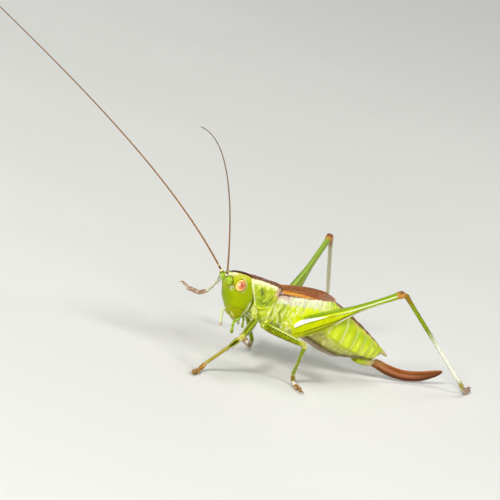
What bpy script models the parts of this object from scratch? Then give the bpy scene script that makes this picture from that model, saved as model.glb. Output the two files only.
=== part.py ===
"""A short-winged conehead, a long-horned grasshopper, as a still life-size museum model.

The insect is a female standing on five feet with its right fore leg raised. It faces -Y, its left side is +X,
and the soles of its feet are flats on the floor, z = 0. Sizes are in millimetres, with x = 0 in its middle
plane and y = 0 above its mid legs. finish() makes them metres, from the middle of the floor under the whole.
"""

from dataclasses import dataclass
from math import asin, cos, degrees, pi, radians, sin

import bmesh
import bpy
from mathutils import Matrix, Vector

MM = 0.001
ACROSS = Vector((1, 0, 0))
GAP = 0.05  # clearance between solids that meet
CUTTER_MARGIN = 0.07  # how far a cutter stands out, to leave the clearance at its sharp edges too
SLIM = 0.25  # least half thickness of a limb, feeler or wing

ANKLE_HEIGHT = 0.42  # where a tibia ends above the floor
SOLE_CENTRE = 0.22  # height of a tarsus's axis, less than its half depth, so that its sole is cut flat
HEEL = 0.12  # how far a tarsus reaches back past the tibia's end
CLAW_LENGTH = 0.42
CLAW_SPREAD = 24.0  # degrees to each side
CLAW_ROOT = 0.25  # how far a claw reaches into its foot
CLAW_HEIGHT = 0.14  # least height of a claw's tip

SKULL_POINTS = 16  # points round a section, by size of piece
BODY_POINTS = 16
LIMB_POINTS = 8
FEELER_POINTS = 6
BALL_POINTS = 12
BALL_RINGS = 8
ROUND_END = ((0.0, 0.50), (0.03, 0.90))  # (share of the length, share of the size) at a domed end
TAPERED_END = ((0.0, 0.25), (0.10, 0.75))

SIDES = ((1, "left"), (-1, "right"))
BEYOND = 10.0  # a distance past any side of the head

SHARP_ANGLE = 40.0  # degrees

ROUGHNESS = 0.45
GREEN = (0.30, 0.52, 0.05)
FACE_GREEN = (0.33, 0.50, 0.02)
LIME = (0.42, 0.60, 0.08)
BROWN = (0.23, 0.07, 0.03)
STRAW = (0.36, 0.22, 0.10)
RUST = (0.35, 0.10, 0.04)
AMBER = (0.80, 0.32, 0.14)


# ---------------------------------------------------------------- curves and sections


def through(stations, t):
    """The values at t on a smooth curve through stations, each (t, value, value ...)."""
    last = len(stations) - 2
    i = min(max(sum(station[0] <= t for station in stations) - 1, 0), last)
    before, start = stations[max(i - 1, 0)], stations[i]
    end, after = stations[i + 1], stations[min(i + 2, last + 1)]
    span = end[0] - start[0]
    u = (t - start[0]) / span
    values = []
    for a, b, c, d in zip(before[1:], start[1:], end[1:], after[1:]):
        leave = (c - a) / (end[0] - before[0]) * span
        arrive = (d - b) / (after[0] - start[0]) * span
        first = (b * (1 + 2 * u) + leave * u) * (1 - u) ** 2
        second = (c * (3 - 2 * u) - arrive * (1 - u)) * u**2
        values.append(first + second)
    return values


def heading(azimuth, elevation):
    """The unit vector at azimuth degrees from +X towards +Y, and elevation degrees above the floor."""
    a, e = radians(azimuth), radians(elevation)
    return Vector((cos(a) * cos(e), sin(a) * cos(e), sin(e)))


def section(centre, across, up, half_width, above, below, points, squareness=2.0):
    """Points round an oval with its own depths above and below the centre; squareness 2 is an ellipse."""
    power = 2.0 / squareness
    ring = []
    for k in range(points):
        angle = 2 * pi * (k + 0.5) / points
        side = abs(cos(angle)) ** power * (1 if cos(angle) > 0 else -1)
        rise = abs(sin(angle)) ** power * (1 if sin(angle) > 0 else -1)
        ring.append(centre + across * (side * half_width) + up * (rise * (above if rise > 0 else below)))
    return ring


# ---------------------------------------------------------------- solids


def material(name, colour, roughness):
    made = bpy.data.materials.new(name)
    made.use_nodes = True
    shader = made.node_tree.nodes["Principled BSDF"]
    shader.inputs["Base Color"].default_value = (*colour, 1.0)
    shader.inputs["Roughness"].default_value = roughness
    shader.inputs["Metallic"].default_value = 0.0
    return made


def solid(name, bm, colour):
    """An object from bm, still in millimetres. Its bent faces are split once, so that every cut agrees."""
    bmesh.ops.recalc_face_normals(bm, faces=bm.faces)
    bmesh.ops.triangulate(bm, faces=bm.faces)
    mesh = bpy.data.meshes.new(name)
    bm.to_mesh(mesh)
    bm.free()
    made = bpy.data.objects.new(name, mesh)
    bpy.context.scene.collection.objects.link(made)
    made.data.materials.append(material(name, colour, ROUGHNESS))
    return made


def cap(bm, ring, folded):
    """Closes a ring with a fan round its middle or, if it is folded double, with a strip between halves."""
    if not folded:
        bmesh.ops.poke(bm, faces=[bm.faces.new(ring)])
        return
    for k in range(len(ring) // 2 - 1):
        bm.faces.new((ring[k], ring[k + 1], ring[-2 - k], ring[-1 - k]))


def loft(name, rings, colour, folded=False):
    """One closed solid: a capped ring of points, extruded from ring to ring."""
    bm = bmesh.new()
    ring = [bm.verts.new(place) for place in rings[0]]
    cap(bm, ring, folded)
    for places in rings[1:]:
        edges = [bm.edges.get((a, b)) or bm.edges.new((a, b)) for a, b in zip(ring, ring[1:] + ring[:1])]
        made = set(bmesh.ops.extrude_edge_only(bm, edges=edges)["geom"])
        ring = [next(e.other_vert(v) for e in v.link_edges if e.other_vert(v) in made) for v in ring]
        for vert, place in zip(ring, places):
            vert.co = place
    cap(bm, ring, folded)
    return solid(name, bm, colour)


def ball(name, centre, radii, turned, colour):
    bm = bmesh.new()
    shape = Matrix.Translation(centre) @ turned @ Matrix.Diagonal((*radii, 1.0))
    bmesh.ops.create_uvsphere(bm, u_segments=BALL_POINTS, v_segments=BALL_RINGS, radius=1.0, matrix=shape)
    return solid(name, bm, colour)


def steps(count, start=ROUND_END, end=ROUND_END):
    """(share of the length, share of the size) for each ring of a limb with the two ends given."""
    first, last = start[-1][0], 1 - end[-1][0]
    middle = [(first + (last - first) * (k + 1) / (count + 1), 1.0) for k in range(count)]
    return [*start, *middle, *((1 - t, size) for t, size in reversed(end))]


def limb(name, path, size, colour, rings, points=LIMB_POINTS, floor=None):
    """A lofted limb. path(t) is a point, size(t) its half width, half depth above and half depth below."""
    sections = []
    across = None
    for t, share in rings:
        along = (path(min(t + 0.01, 1.0)) - path(max(t - 0.01, 0.0))).normalized()
        if across is None:
            across = along.cross(Vector((0, 0, 1)))
        across = (across - along * across.dot(along)).normalized()
        up = across.cross(along)
        half_width, above, below = (value * share for value in size(t))
        ring = section(path(t), across, up, half_width, above, below, points)
        if floor is not None:
            ring = [Vector((p.x, p.y, max(p.z, floor))) for p in ring]
        sections.append(ring)
    return loft(name, sections, colour)


def straight(start, end, bow=0.0):
    """A path from start to end that rises by bow half way, in a half wave."""
    return lambda t: start.lerp(end, t) + Vector((0, 0, bow * sin(pi * t)))


def evaluated(obj):
    """The mesh of obj with its modifiers applied."""
    bpy.context.view_layer.update()
    return bpy.data.meshes.new_from_object(obj.evaluated_get(bpy.context.evaluated_depsgraph_get()))


def closed(mesh):
    bm = bmesh.new()
    bm.from_mesh(mesh)
    whole = len(bm.faces) > 0 and all(edge.is_manifold for edge in bm.edges)
    bm.free()
    return whole


def combine(obj, tool, operation):
    """Joins tool to obj, cuts it away, or keeps what both hold; the tool is used up.

    Where two cut surfaces nearly coincide the exact solver can leave an edge open; the manifold one can't.
    """
    boolean = obj.modifiers.new("boolean", "BOOLEAN")
    boolean.operation = operation
    boolean.object = tool
    for solver in ("EXACT", "MANIFOLD"):
        boolean.solver = solver
        mesh = evaluated(obj)
        if closed(mesh):
            break
    obj.modifiers.clear()
    obj.data = mesh
    bpy.data.objects.remove(tool)
    return obj


def fattened(obj, by=CUTTER_MARGIN):
    """A cutter with the surface of obj moved out."""
    bm = bmesh.new()
    bm.from_mesh(obj.data)
    moves = [(vert, vert.normal * by * min(vert.calc_shell_factor(), 2.0)) for vert in bm.verts]
    for vert, move in moves:
        vert.co += move
    return solid("cutter", bm, GREEN)


def near(obj, other):
    """Whether the boxes of two solids come within the clearance."""
    mine, theirs = ([Vector(corner) for corner in (o.bound_box[0], o.bound_box[6])] for o in (obj, other))
    return all(mine[0][k] < theirs[1][k] + GAP and theirs[0][k] < mine[1][k] + GAP for k in range(3))


def yields(obj, *others):
    """Cuts obj back so that it clears each of the others."""
    for other in others:
        if near(obj, other):
            combine(obj, fattened(other), "DIFFERENCE")
    return obj


def block(low, high):
    bm = bmesh.new()
    centre = [(a + b) / 2 for a, b in zip(low, high)]
    size = [b - a for a, b in zip(low, high)]
    bmesh.ops.create_cube(bm, size=1.0, matrix=Matrix.Translation(centre) @ Matrix.Diagonal((*size, 1.0)))
    return solid("cutter", bm, GREEN)


def piece_of(whole, name, low, high):
    """The part of whole inside a box, as a solid of its own."""
    piece = whole.copy()
    piece.data = whole.data.copy()
    piece.name = name
    piece.data.materials.clear()
    piece.data.materials.append(material(name, FACE_GREEN, ROUGHNESS))
    bpy.context.scene.collection.objects.link(piece)
    return combine(piece, block(low, high), "INTERSECT")


# ---------------------------------------------------------------- trunk

# Stations down the trunk: (place, dorsal y, dorsal z, ventral y, ventral z, half width), with place 0 in the
# neck, 3 at the thorax's end and 10 at the tail. A section's plane holds the dorsal and the ventral point.
TRUNK = (
    (0.0, -2.10, 6.10, -2.35, 4.80, 0.78),
    (1.0, -0.70, 6.30, -1.55, 3.95, 1.14),
    (2.0, 1.00, 6.32, 0.10, 3.45, 1.34),
    (3.0, 2.60, 6.30, 1.80, 3.15, 1.42),
    (4.0, 4.10, 6.18, 3.40, 2.72, 1.50),
    (5.0, 5.50, 5.94, 4.80, 2.12, 1.54),
    (6.0, 6.90, 5.36, 6.20, 1.72, 1.48),
    (7.0, 8.20, 4.62, 7.45, 1.68, 1.32),
    (8.0, 9.35, 3.90, 8.60, 1.72, 1.10),
    (9.0, 10.40, 3.20, 9.65, 1.74, 0.82),
    (10.0, 11.35, 2.48, 10.70, 1.92, 0.42),
)
TRUNK_CENTRE = 0.52  # share of a section's depth that lies above its widest line
TRUNK_SQUARENESS = 2.35
TRUNK_RINGS = 4  # in each length of the abdomen
ABDOMEN_CUTS = (3.0, 5.0, 7.0, 8.6, 10.0)  # places where the abdomen is divided
CUT = 0.02  # half a thin cut, as a share of a place


def trunk_section(place):
    """The ring round the trunk at a place."""
    top_y, top_z, low_y, low_z, half_width = through(TRUNK, place)
    top, low = Vector((0, top_y, top_z)), Vector((0, low_y, low_z))
    depth = (top - low).length
    up = (top - low).normalized()
    above = depth * TRUNK_CENTRE
    below = depth - above
    return section(top - up * above, ACROSS, up, half_width, above, below, BODY_POINTS, TRUNK_SQUARENESS)


def trunk_length(name, start, end, count, colour):
    """A solid of the trunk between two places."""
    return loft(name, [trunk_section(start + (end - start) * k / count) for k in range(count + 1)], colour)


def abdomen():
    pieces = []
    for number, (start, end) in enumerate(zip(ABDOMEN_CUTS, ABDOMEN_CUTS[1:]), 1):
        stop = end - CUT if end < ABDOMEN_CUTS[-1] else end
        pieces.append(trunk_length(f"abdomen_{number}", start + CUT, stop, TRUNK_RINGS, LIME))
    return pieces


# The pronotum is a saddle; its stations go front to back as those of the trunk do, and end with the
# distance by which the flanks run ahead of the back, which rounds its rear edge.
PRONOTUM = (
    (0.0, -2.84, 7.34, -2.50, 5.30, 1.02, 0.00),
    (1.0, -2.45, 7.33, -2.30, 4.96, 1.16, 0.00),
    (2.0, -1.60, 7.19, -1.80, 4.84, 1.24, 0.10),
    (3.0, -0.85, 7.03, -1.25, 5.00, 1.26, 0.36),
    (4.0, -0.30, 6.94, -0.72, 5.45, 1.25, 0.64),
    (5.0, 0.05, 6.86, -0.40, 5.95, 1.18, 0.84),
)
PRONOTUM_CENTRE = 0.45
PRONOTUM_SQUARENESS = 2.9


def pronotum():
    rings = []
    for k in range(2 * len(PRONOTUM) - 1):
        top_y, top_z, low_y, low_z, half_width, lead = through(PRONOTUM, k / 2)
        top, low = Vector((0, top_y, top_z)), Vector((0, low_y, low_z))
        up = (top - low).normalized()
        above = (top - low).length * PRONOTUM_CENTRE
        below = (top - low).length - above
        middle = top - up * above
        ring = section(middle, ACROSS, up, half_width, above, below, SKULL_POINTS, PRONOTUM_SQUARENESS)
        rings.append([p - Vector((0, lead * (p.x / half_width) ** 2, 0)) for p in ring])
    return loft("pronotum", rings, BROWN)


# ---------------------------------------------------------------- head

# Stations from the crown to the mouth: (place, front y, front z, rear y, rear z, half width).
SKULL = (
    (0.0, -4.50, 7.50, -3.05, 7.45, 0.42),
    (1.0, -4.94, 7.16, -2.50, 7.14, 0.86),
    (2.0, -4.97, 6.66, -2.25, 6.60, 1.06),
    (3.0, -4.87, 6.06, -2.15, 5.90, 1.14),
    (4.0, -4.70, 5.46, -2.22, 5.30, 1.10),
    (5.0, -4.40, 4.90, -2.44, 4.85, 0.97),
    (6.0, -4.08, 4.45, -2.75, 4.48, 0.80),
    (7.0, -3.76, 4.08, -2.96, 4.15, 0.58),
    (8.0, -3.40, 3.78, -3.05, 3.84, 0.32),
)
MOUTH_TOP = 4.72  # height where the face ends and the lips and jaws begin
LABRUM_REAR = -3.62
EYE_CENTRE = (0.96, -4.06, 6.71)
EYE_RADII = (0.37, 0.41, 0.48)
EYE_LEAN = -14.0  # degrees, top forward
SKULL_SQUARENESS = 2.25
FASTIGIUM_ROOT = (0.0, -3.90, 7.24)  # the narrow peak between the feelers
FASTIGIUM_TIP = (0.0, -5.12, 7.38)
SCAPE_BASE = (0.46, -4.72, 6.66)
SCAPE_TIP = (0.47, -5.20, 7.30)
SCAPE_RADIUS = 0.27
FEELER_BENDS = 6  # rings after the first in each length of a feeler
FEELER_CLEAR = 0.12  # from the scape's tip to the flagellum's path


def sided(place, side):
    return Vector((place[0] * side, place[1], place[2]))


def skull():
    rings = []
    for k in range(2 * len(SKULL) - 1):
        front_y, front_z, rear_y, rear_z, half_width = through(SKULL, k / 2)
        front, rear = Vector((0, front_y, front_z)), Vector((0, rear_y, rear_z))
        forward = (front - rear).normalized()
        half = (front - rear).length / 2
        middle = (front + rear) / 2
        rings.append(section(middle, ACROSS, forward, half_width, half, half, SKULL_POINTS, SKULL_SQUARENESS))
    whole = loft("head", rings, FACE_GREEN)
    line = straight(Vector(FASTIGIUM_ROOT), Vector(FASTIGIUM_TIP))
    peak = limb("peak", line, lambda t: (0.24 - 0.06 * t, 0.17, 0.25), BROWN, steps(1))
    return combine(whole, peak, "UNION")


def head():
    """The head capsule, lip, jaws and eyes, with the sockets of the eyes cut."""
    whole = skull()
    half = GAP / 2
    mouth = MOUTH_TOP - half
    capsule = piece_of(whole, "head_capsule", (-BEYOND, -BEYOND, MOUTH_TOP + half), (BEYOND, 0, BEYOND))
    labrum = piece_of(whole, "labrum", (-BEYOND, -BEYOND, 0), (BEYOND, LABRUM_REAR - half, mouth))
    jaws = [
        piece_of(whole, "mandible_left", (half, LABRUM_REAR + half, 0), (BEYOND, 0, mouth)),
        piece_of(whole, "mandible_right", (-BEYOND, LABRUM_REAR + half, 0), (-half, 0, mouth)),
    ]
    bpy.data.objects.remove(whole)
    lean = Matrix.Rotation(radians(EYE_LEAN), 4, "X")
    for side, word in SIDES:
        eye = ball(f"eye_{word}", sided(EYE_CENTRE, side), EYE_RADII, lean, AMBER)
        yields(capsule, eye)
    return capsule, labrum, jaws


# ---------------------------------------------------------------- feelers and palps


@dataclass(frozen=True)
class Feeler:
    """A flagellum whose azimuth and elevation turn evenly from its base to its tip."""

    side: int
    word: str
    azimuth: tuple
    elevation: tuple
    length: float = 38.0
    pieces: int = 3

    def path(self):
        """Points a millimetre apart."""
        places = [sided(SCAPE_TIP, self.side) + heading(self.azimuth[0], self.elevation[0]) * FEELER_CLEAR]
        for step in range(round(self.length)):
            share = step / self.length
            bearings = [start + (end - start) * share for start, end in (self.azimuth, self.elevation)]
            places.append(places[-1] + heading(*bearings))
        return places


FEELERS = (
    Feeler(side=1, word="left", azimuth=(-41, -41), elevation=(42, 12)),
    Feeler(side=-1, word="right", azimuth=(-79, -149), elevation=(43, 21)),
)


def feeler(shape):
    """The scape and the lengths of the flagellum, base first."""
    places = shape.path()
    line = straight(sided(SCAPE_BASE, shape.side), sided(SCAPE_TIP, shape.side))
    made = [limb(f"scape_{shape.word}", line, lambda t: (SCAPE_RADIUS,) * 3, GREEN, steps(2))]
    size = len(places) - 1
    for number in range(shape.pieces):
        first, last = size * number // shape.pieces, size * (number + 1) // shape.pieces

        def path(t, first=first, last=last):
            at = first + (last - first) * t
            low = min(int(at), size - 1)
            return places[low].lerp(places[low + 1], at - low)

        inset = GAP / (last - first)
        rings = [(inset + (1 - 2 * inset) * k / FEELER_BENDS, 1.0) for k in range(FEELER_BENDS + 1)]
        name = f"feeler_{shape.word}_{number + 1}"
        made.append(limb(name, path, lambda t: (SLIM,) * 3, STRAW, rings, FEELER_POINTS))
    return made


# Palps hang from the mouth: the base, the bend and the tip.
MAXILLARY_PALP = ((0.52, -2.98, 4.05), (0.86, -3.55, 3.62), (0.82, -3.46, 2.72))
LABIAL_PALP = ((0.30, -2.62, 4.20), (0.34, -2.50, 3.85), (0.34, -2.42, 3.18))


def palp(name, joints, side):
    base, bend, tip = (sided(place, side) for place in joints)

    def path(t):
        """A curve that leaves the base, is drawn to the bend and ends at the tip."""
        return base * (1 - t) ** 2 + (bend * 2 - (base + tip) / 2) * (2 * t * (1 - t)) + tip * t * t

    return limb(name, path, lambda t: (SLIM,) * 3, GREEN, steps(4), FEELER_POINTS)


# ---------------------------------------------------------------- wings and tail


# Stations along the left fore wing: (y, inner height, outer x, outer height).
TEGMEN = (
    (-0.70, 6.62, 0.98, 6.40),
    (0.00, 6.75, 1.12, 6.46),
    (0.90, 6.89, 1.22, 6.46),
    (2.20, 6.90, 1.26, 6.42),
    (3.60, 6.82, 1.20, 6.38),
    (4.40, 6.70, 1.02, 6.36),
    (4.95, 6.58, 0.76, 6.34),
    (5.20, 6.50, 0.54, 6.30),
)
TEGMEN_THICK = 0.5
TEGMEN_INNER = 0.04  # the two wings meet on the back with this half gap
TEGMEN_POINTS = 5  # along the arc
TEGMEN_EDGE = 0.35  # the wing's upright thickness at its lower edge, as a share of that on the back
TEGMEN_FLANK = 0.8  # its level thickness there


def tegmen(word, side):
    """A bent plate: each section is a thick arc from the ridge of the back to the wing's lower edge."""
    rings = []
    for y, ridge, outer_x, outer_z in TEGMEN:
        upper, lower = [], []
        for k in range(TEGMEN_POINTS):
            turn = pi / 2 * k / (TEGMEN_POINTS - 1)
            x = TEGMEN_INNER + (outer_x - TEGMEN_INNER) * sin(turn)
            z = outer_z + (ridge - outer_z) * cos(turn)
            inward = TEGMEN_THICK * TEGMEN_FLANK * sin(turn)
            drop = TEGMEN_THICK * (TEGMEN_EDGE + (1 - TEGMEN_EDGE) * cos(turn))
            upper.append(Vector((x * side, y, z)))
            lower.append(Vector(((x - inward) * side, y, z - drop)))
        rings.append(upper + lower[::-1])
    return loft(f"tegmen_{word}", rings, RUST, folded=True)


CERCUS_BASE = (0.42, 10.10, 3.02)
CERCUS_TIP = (0.60, 11.45, 2.24)


def cercus(word, side):
    line = straight(sided(CERCUS_BASE, side), sided(CERCUS_TIP, side), 0.08)
    rings = steps(2, ROUND_END, TAPERED_END)
    return limb(f"cercus_{word}", line, lambda t: (0.27 - 0.05 * t,) * 3, GREEN, rings)


# Stations along the egg-laying blade: (share, y, centre height, half depth).
BLADE = (
    (0.0, 10.05, 1.50, 0.20),
    (0.12, 11.00, 1.38, 0.38),
    (0.30, 12.35, 0.92, 0.44),
    (0.50, 13.90, 0.63, 0.45),
    (0.72, 15.60, 0.68, 0.45),
    (0.90, 17.00, 1.02, 0.34),
    (1.0, 17.75, 1.30, 0.12),
)
BLADE_HALF_WIDTH = 0.25
BLADE_POINTS = 10
BLADE_BENDS = 12
PLATE_BASE = (0.0, 8.75, 1.58)  # the plate under the blade's root
PLATE_TIP = (0.0, 10.60, 1.30)


def ovipositor():
    def path(t):
        y, z, _ = through(BLADE, t)
        return Vector((0, y, z))

    def size(t):
        depth = through(BLADE, t)[2]
        return BLADE_HALF_WIDTH, depth, depth

    rings = [(k / BLADE_BENDS, 1.0) for k in range(BLADE_BENDS + 1)]
    return limb("ovipositor", path, size, RUST, rings, BLADE_POINTS)


def subgenital_plate():
    line = straight(Vector(PLATE_BASE), Vector(PLATE_TIP))
    return limb("subgenital_plate", line, lambda t: (0.62 - 0.3 * t, SLIM, SLIM), LIME, steps(2))


# ---------------------------------------------------------------- legs


@dataclass(frozen=True)
class Segment:
    """Size of one leg segment: length, then (share, half width, half above, half below) along it."""

    length: float
    sizes: tuple


@dataclass(frozen=True)
class Pose:
    """Where a leg leaves the body and how its segments point, in degrees as heading() takes them."""

    coxa: tuple
    hip: tuple
    femur: tuple
    tibia: float
    tarsus: float
    raised: float = None  # elevation of the tibia of a foot that is off the floor


@dataclass(frozen=True)
class Kind:
    """The build of a pair of legs."""

    coxa_radius: float
    femur: Segment
    tibia: Segment
    tarsus: Segment
    bends: int = 4  # rings along the femur


TARSUS_SIZES = (
    (0.0, 0.25, 0.28, 0.28),
    (0.22, 0.27, 0.30, 0.30),
    (0.50, 0.32, 0.30, 0.30),
    (0.68, 0.27, 0.28, 0.30),
    (0.85, 0.25, 0.26, 0.27),
    (1.0, 0.25, 0.26, 0.25),
)
KINDS = {
    "fore": Kind(
        coxa_radius=0.36,
        femur=Segment(
            3.55,
            (
                (0.0, 0.26, 0.28, 0.30),
                (0.30, 0.30, 0.33, 0.36),
                (0.75, 0.27, 0.30, 0.30),
                (1.0, 0.26, 0.30, 0.30),
            ),
        ),
        tibia=Segment(
            3.75,
            (
                (0.0, 0.26, 0.28, 0.28),
                (0.16, 0.28, 0.32, 0.30),
                (0.38, SLIM, 0.26, 0.26),
                (1.0, SLIM, 0.26, 0.26),
            ),
        ),
        tarsus=Segment(2.2, TARSUS_SIZES),
    ),
    "mid": Kind(
        coxa_radius=0.42,
        femur=Segment(
            3.9,
            (
                (0.0, 0.27, 0.30, 0.30),
                (0.35, 0.31, 0.36, 0.37),
                (0.80, 0.27, 0.30, 0.30),
                (1.0, 0.26, 0.29, 0.29),
            ),
        ),
        tibia=Segment(
            3.8,
            (
                (0.0, 0.26, 0.28, 0.28),
                (0.30, SLIM, 0.26, 0.26),
                (1.0, SLIM, 0.26, 0.26),
            ),
        ),
        tarsus=Segment(2.7, TARSUS_SIZES),
    ),
    "hind": Kind(
        coxa_radius=0.54,
        femur=Segment(
            9.9,
            (
                (0.0, 0.38, 0.46, 0.80),
                (0.05, 0.44, 0.66, 0.88),
                (0.12, 0.48, 0.80, 0.94),
                (0.24, 0.50, 0.74, 0.96),
                (0.36, 0.44, 0.60, 0.84),
                (0.46, 0.37, 0.44, 0.62),
                (0.60, 0.30, 0.31, 0.34),
                (0.78, 0.26, 0.28, 0.26),
                (0.90, 0.27, 0.33, 0.26),
                (0.96, 0.32, 0.38, 0.30),
                (1.0, 0.30, 0.34, 0.30),
            ),
        ),
        tibia=Segment(
            11.4,
            (
                (0.0, 0.27, 0.28, 0.28),
                (0.05, SLIM, 0.27, 0.26),
                (0.95, SLIM, 0.25, 0.25),
                (1.0, 0.27, 0.27, 0.27),
            ),
        ),
        tarsus=Segment(2.3, TARSUS_SIZES),
        bends=10,
    ),
}
LEGS = {
    "fore_left": Pose(
        coxa=(0.62, -2.10, 5.30), hip=(0.92, -1.86, 4.02), femur=(-44, -10), tibia=-127, tarsus=-48
    ),
    "fore_right": Pose(
        coxa=(-0.62, -2.10, 5.30),
        hip=(-0.92, -1.86, 4.02),
        femur=(196, 35),
        tibia=169,
        tarsus=212,
        raised=-42,
    ),
    "mid_left": Pose(
        coxa=(0.66, -0.15, 4.62), hip=(1.02, -1.05, 3.80), femur=(29, -2), tibia=153, tarsus=-12
    ),
    "mid_right": Pose(
        coxa=(-0.66, -0.15, 4.62), hip=(-1.02, -1.05, 3.80), femur=(158, 0), tibia=74, tarsus=170
    ),
    "hind_left": Pose(
        coxa=(0.78, 0.62, 4.15), hip=(1.42, 1.45, 3.90), femur=(88, 23.8), tibia=90, tarsus=135
    ),
    "hind_right": Pose(
        coxa=(-0.78, 0.62, 4.15), hip=(-1.42, 1.45, 3.90), femur=(128, 34.6), tibia=130, tarsus=130
    ),
}


def sized(segment):
    return lambda t: through(segment.sizes, t)


def claws(tip, direction, floor):
    """The two claws at a foot's end, each a short cone."""

    def size(t):
        return 0.16 - 0.05 * t, 0.15 - 0.04 * t, 0.13 - 0.04 * t

    made = []
    for turn in (CLAW_SPREAD, -CLAW_SPREAD):
        end = tip + Matrix.Rotation(radians(turn), 3, "Z") @ direction * CLAW_LENGTH
        end.z = max(tip.z - SLIM, CLAW_HEIGHT)
        made.append(limb("claw", straight(tip - direction * CLAW_ROOT, end), size, BROWN, steps(0), 6, floor))
    return made


def leg(name, pose):
    """The coxa, femur, tibia and tarsus of a leg. A foot on the floor sets how steeply its tibia stands."""
    kind = KINDS[name.split("_")[0]]
    hip = Vector(pose.hip)
    knee = hip + heading(*pose.femur) * kind.femur.length
    if pose.raised is None:
        drop = degrees(asin((ANKLE_HEIGHT - knee.z) / kind.tibia.length))
        floor = 0.0
    else:
        drop = pose.raised
        floor = None
    ankle = knee + heading(pose.tibia, drop) * kind.tibia.length
    direction = heading(pose.tarsus, 0)
    middle = ankle - Vector((0, 0, ANKLE_HEIGHT - SOLE_CENTRE))
    heel, toe = middle - direction * HEEL, middle + direction * kind.tarsus.length
    radius = kind.coxa_radius
    upper = straight(Vector(pose.coxa), hip)
    coxa = limb(f"{name}_coxa", upper, lambda t: (radius * (1 - 0.15 * t),) * 3, GREEN, steps(1))
    femur = limb(f"{name}_femur", straight(hip, knee), sized(kind.femur), GREEN, steps(kind.bends))
    tibia = limb(f"{name}_tibia", straight(knee, ankle), sized(kind.tibia), STRAW, steps(5))
    foot = sized(kind.tarsus)
    tarsus = limb(f"{name}_tarsus", straight(heel, toe), foot, BROWN, steps(4), LIMB_POINTS, floor)
    for claw in claws(toe, direction, floor):
        combine(tarsus, claw, "UNION")
    yields(coxa, femur)
    yields(tibia, femur, tarsus)
    return coxa, femur


# ---------------------------------------------------------------- assembly


def corners_of(pieces):
    """The lowest and the highest corner of the box round some pieces."""
    points = [Vector(corner) for obj in pieces for corner in obj.bound_box]
    low, high = ([limit(p[k] for p in points) for k in range(3)] for limit in (min, max))
    return Vector(low), Vector(high)


def finish(obj, root, origin):
    """Turns a piece to metres from the model's origin, with its own middle as its origin, and parents it."""
    low, high = corners_of([obj])
    middle = (low + high) / 2
    obj.data.transform(Matrix.Scale(MM, 4) @ Matrix.Translation(-middle))
    obj.location = (middle - origin) * MM
    obj.parent = root
    obj.data.shade_smooth()
    obj.data.set_sharp_from_angle(angle=radians(SHARP_ANGLE))


def main():
    for obj in list(bpy.data.objects):
        bpy.data.objects.remove(obj)
    root = bpy.data.objects.new("grasshopper", None)
    bpy.context.scene.collection.objects.link(root)

    capsule, labrum, jaws = head()
    shield = pronotum()
    yields(shield, capsule)
    thorax = trunk_length("thorax", 0.0, 3.0 - CUT, 7, GREEN)
    yields(thorax, capsule, shield)
    lengths = abdomen()
    wings = [tegmen("left", 1), tegmen("right", -1)]
    for wing in wings:
        yields(wing, shield, thorax)
    feelers = [feeler(shape) for shape in FEELERS]
    for scape, *flagellum in feelers:
        yields(scape, capsule)
        yields(flagellum[0], scape, capsule)
    for side, word in SIDES:
        upper = palp(f"maxillary_palp_{word}", MAXILLARY_PALP, side)
        lower = palp(f"labial_palp_{word}", LABIAL_PALP, side)
        yields(upper, capsule, labrum, *jaws)
        yields(lower, capsule, upper, *jaws)
    tail = [cercus("left", 1), cercus("right", -1)]
    for piece in tail:
        yields(piece, *lengths[2:])
    plate = subgenital_plate()
    yields(plate, *lengths[2:])
    blade = ovipositor()
    yields(blade, plate, *lengths[2:])
    for name, pose in LEGS.items():
        coxa, femur = leg(name, pose)
        yields(coxa, shield, capsule)
        yields(thorax, coxa, femur)
        yields(lengths[0], femur)

    pieces = [obj for obj in bpy.context.scene.collection.objects if obj.type == "MESH"]
    low, high = corners_of(pieces)
    origin = Vector(((low.x + high.x) / 2, (low.y + high.y) / 2, 0.0))
    for obj in pieces:
        finish(obj, root, origin)


main()
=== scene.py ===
"""The looks of the grasshopper: skins, eyes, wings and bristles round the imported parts, and a pale studio.

Sizes are in millimetres in the insect's own frame: it faces -Y, its left side is +X, the floor is z = 0 and
y = 0 lies above the mid legs. settle() turns a finished piece to metres, at its packed place.
"""

import logging
from collections.abc import Callable, Iterable, Sequence
from dataclasses import dataclass, field
from enum import Enum
from math import asin, cos, degrees, pi, radians, sin

import bpy
import numpy as np
from mathutils import Matrix, Vector


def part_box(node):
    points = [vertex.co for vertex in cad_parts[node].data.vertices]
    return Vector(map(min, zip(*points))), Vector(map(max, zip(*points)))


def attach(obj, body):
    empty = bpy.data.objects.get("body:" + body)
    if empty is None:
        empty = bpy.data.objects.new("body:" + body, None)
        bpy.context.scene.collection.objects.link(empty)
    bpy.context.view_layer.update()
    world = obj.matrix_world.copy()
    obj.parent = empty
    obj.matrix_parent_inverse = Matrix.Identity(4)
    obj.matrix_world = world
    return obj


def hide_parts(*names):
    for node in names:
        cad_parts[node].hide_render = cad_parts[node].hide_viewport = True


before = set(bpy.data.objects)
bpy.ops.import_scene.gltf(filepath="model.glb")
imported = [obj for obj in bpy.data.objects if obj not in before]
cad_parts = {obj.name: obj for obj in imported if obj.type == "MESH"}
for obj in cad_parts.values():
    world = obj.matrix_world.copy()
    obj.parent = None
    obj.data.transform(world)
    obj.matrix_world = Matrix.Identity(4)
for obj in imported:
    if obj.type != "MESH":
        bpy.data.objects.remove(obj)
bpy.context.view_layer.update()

log = logging.getLogger("grasshopper")

MM = 0.001
MERGE = 1e-5  # points this near are one
FLOOR_GAP = 0.004  # between the floor and the lowest bristle
ROOT = "root"
UP = np.array((0.0, 0.0, 1.0))
LEFT = np.array((1.0, 0.0, 0.0))
SIDES = {1: "left", -1: "right"}
EYE_MIDDLE = (0.0, -4.06, 6.71)  # middle of the pair of eyes

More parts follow.
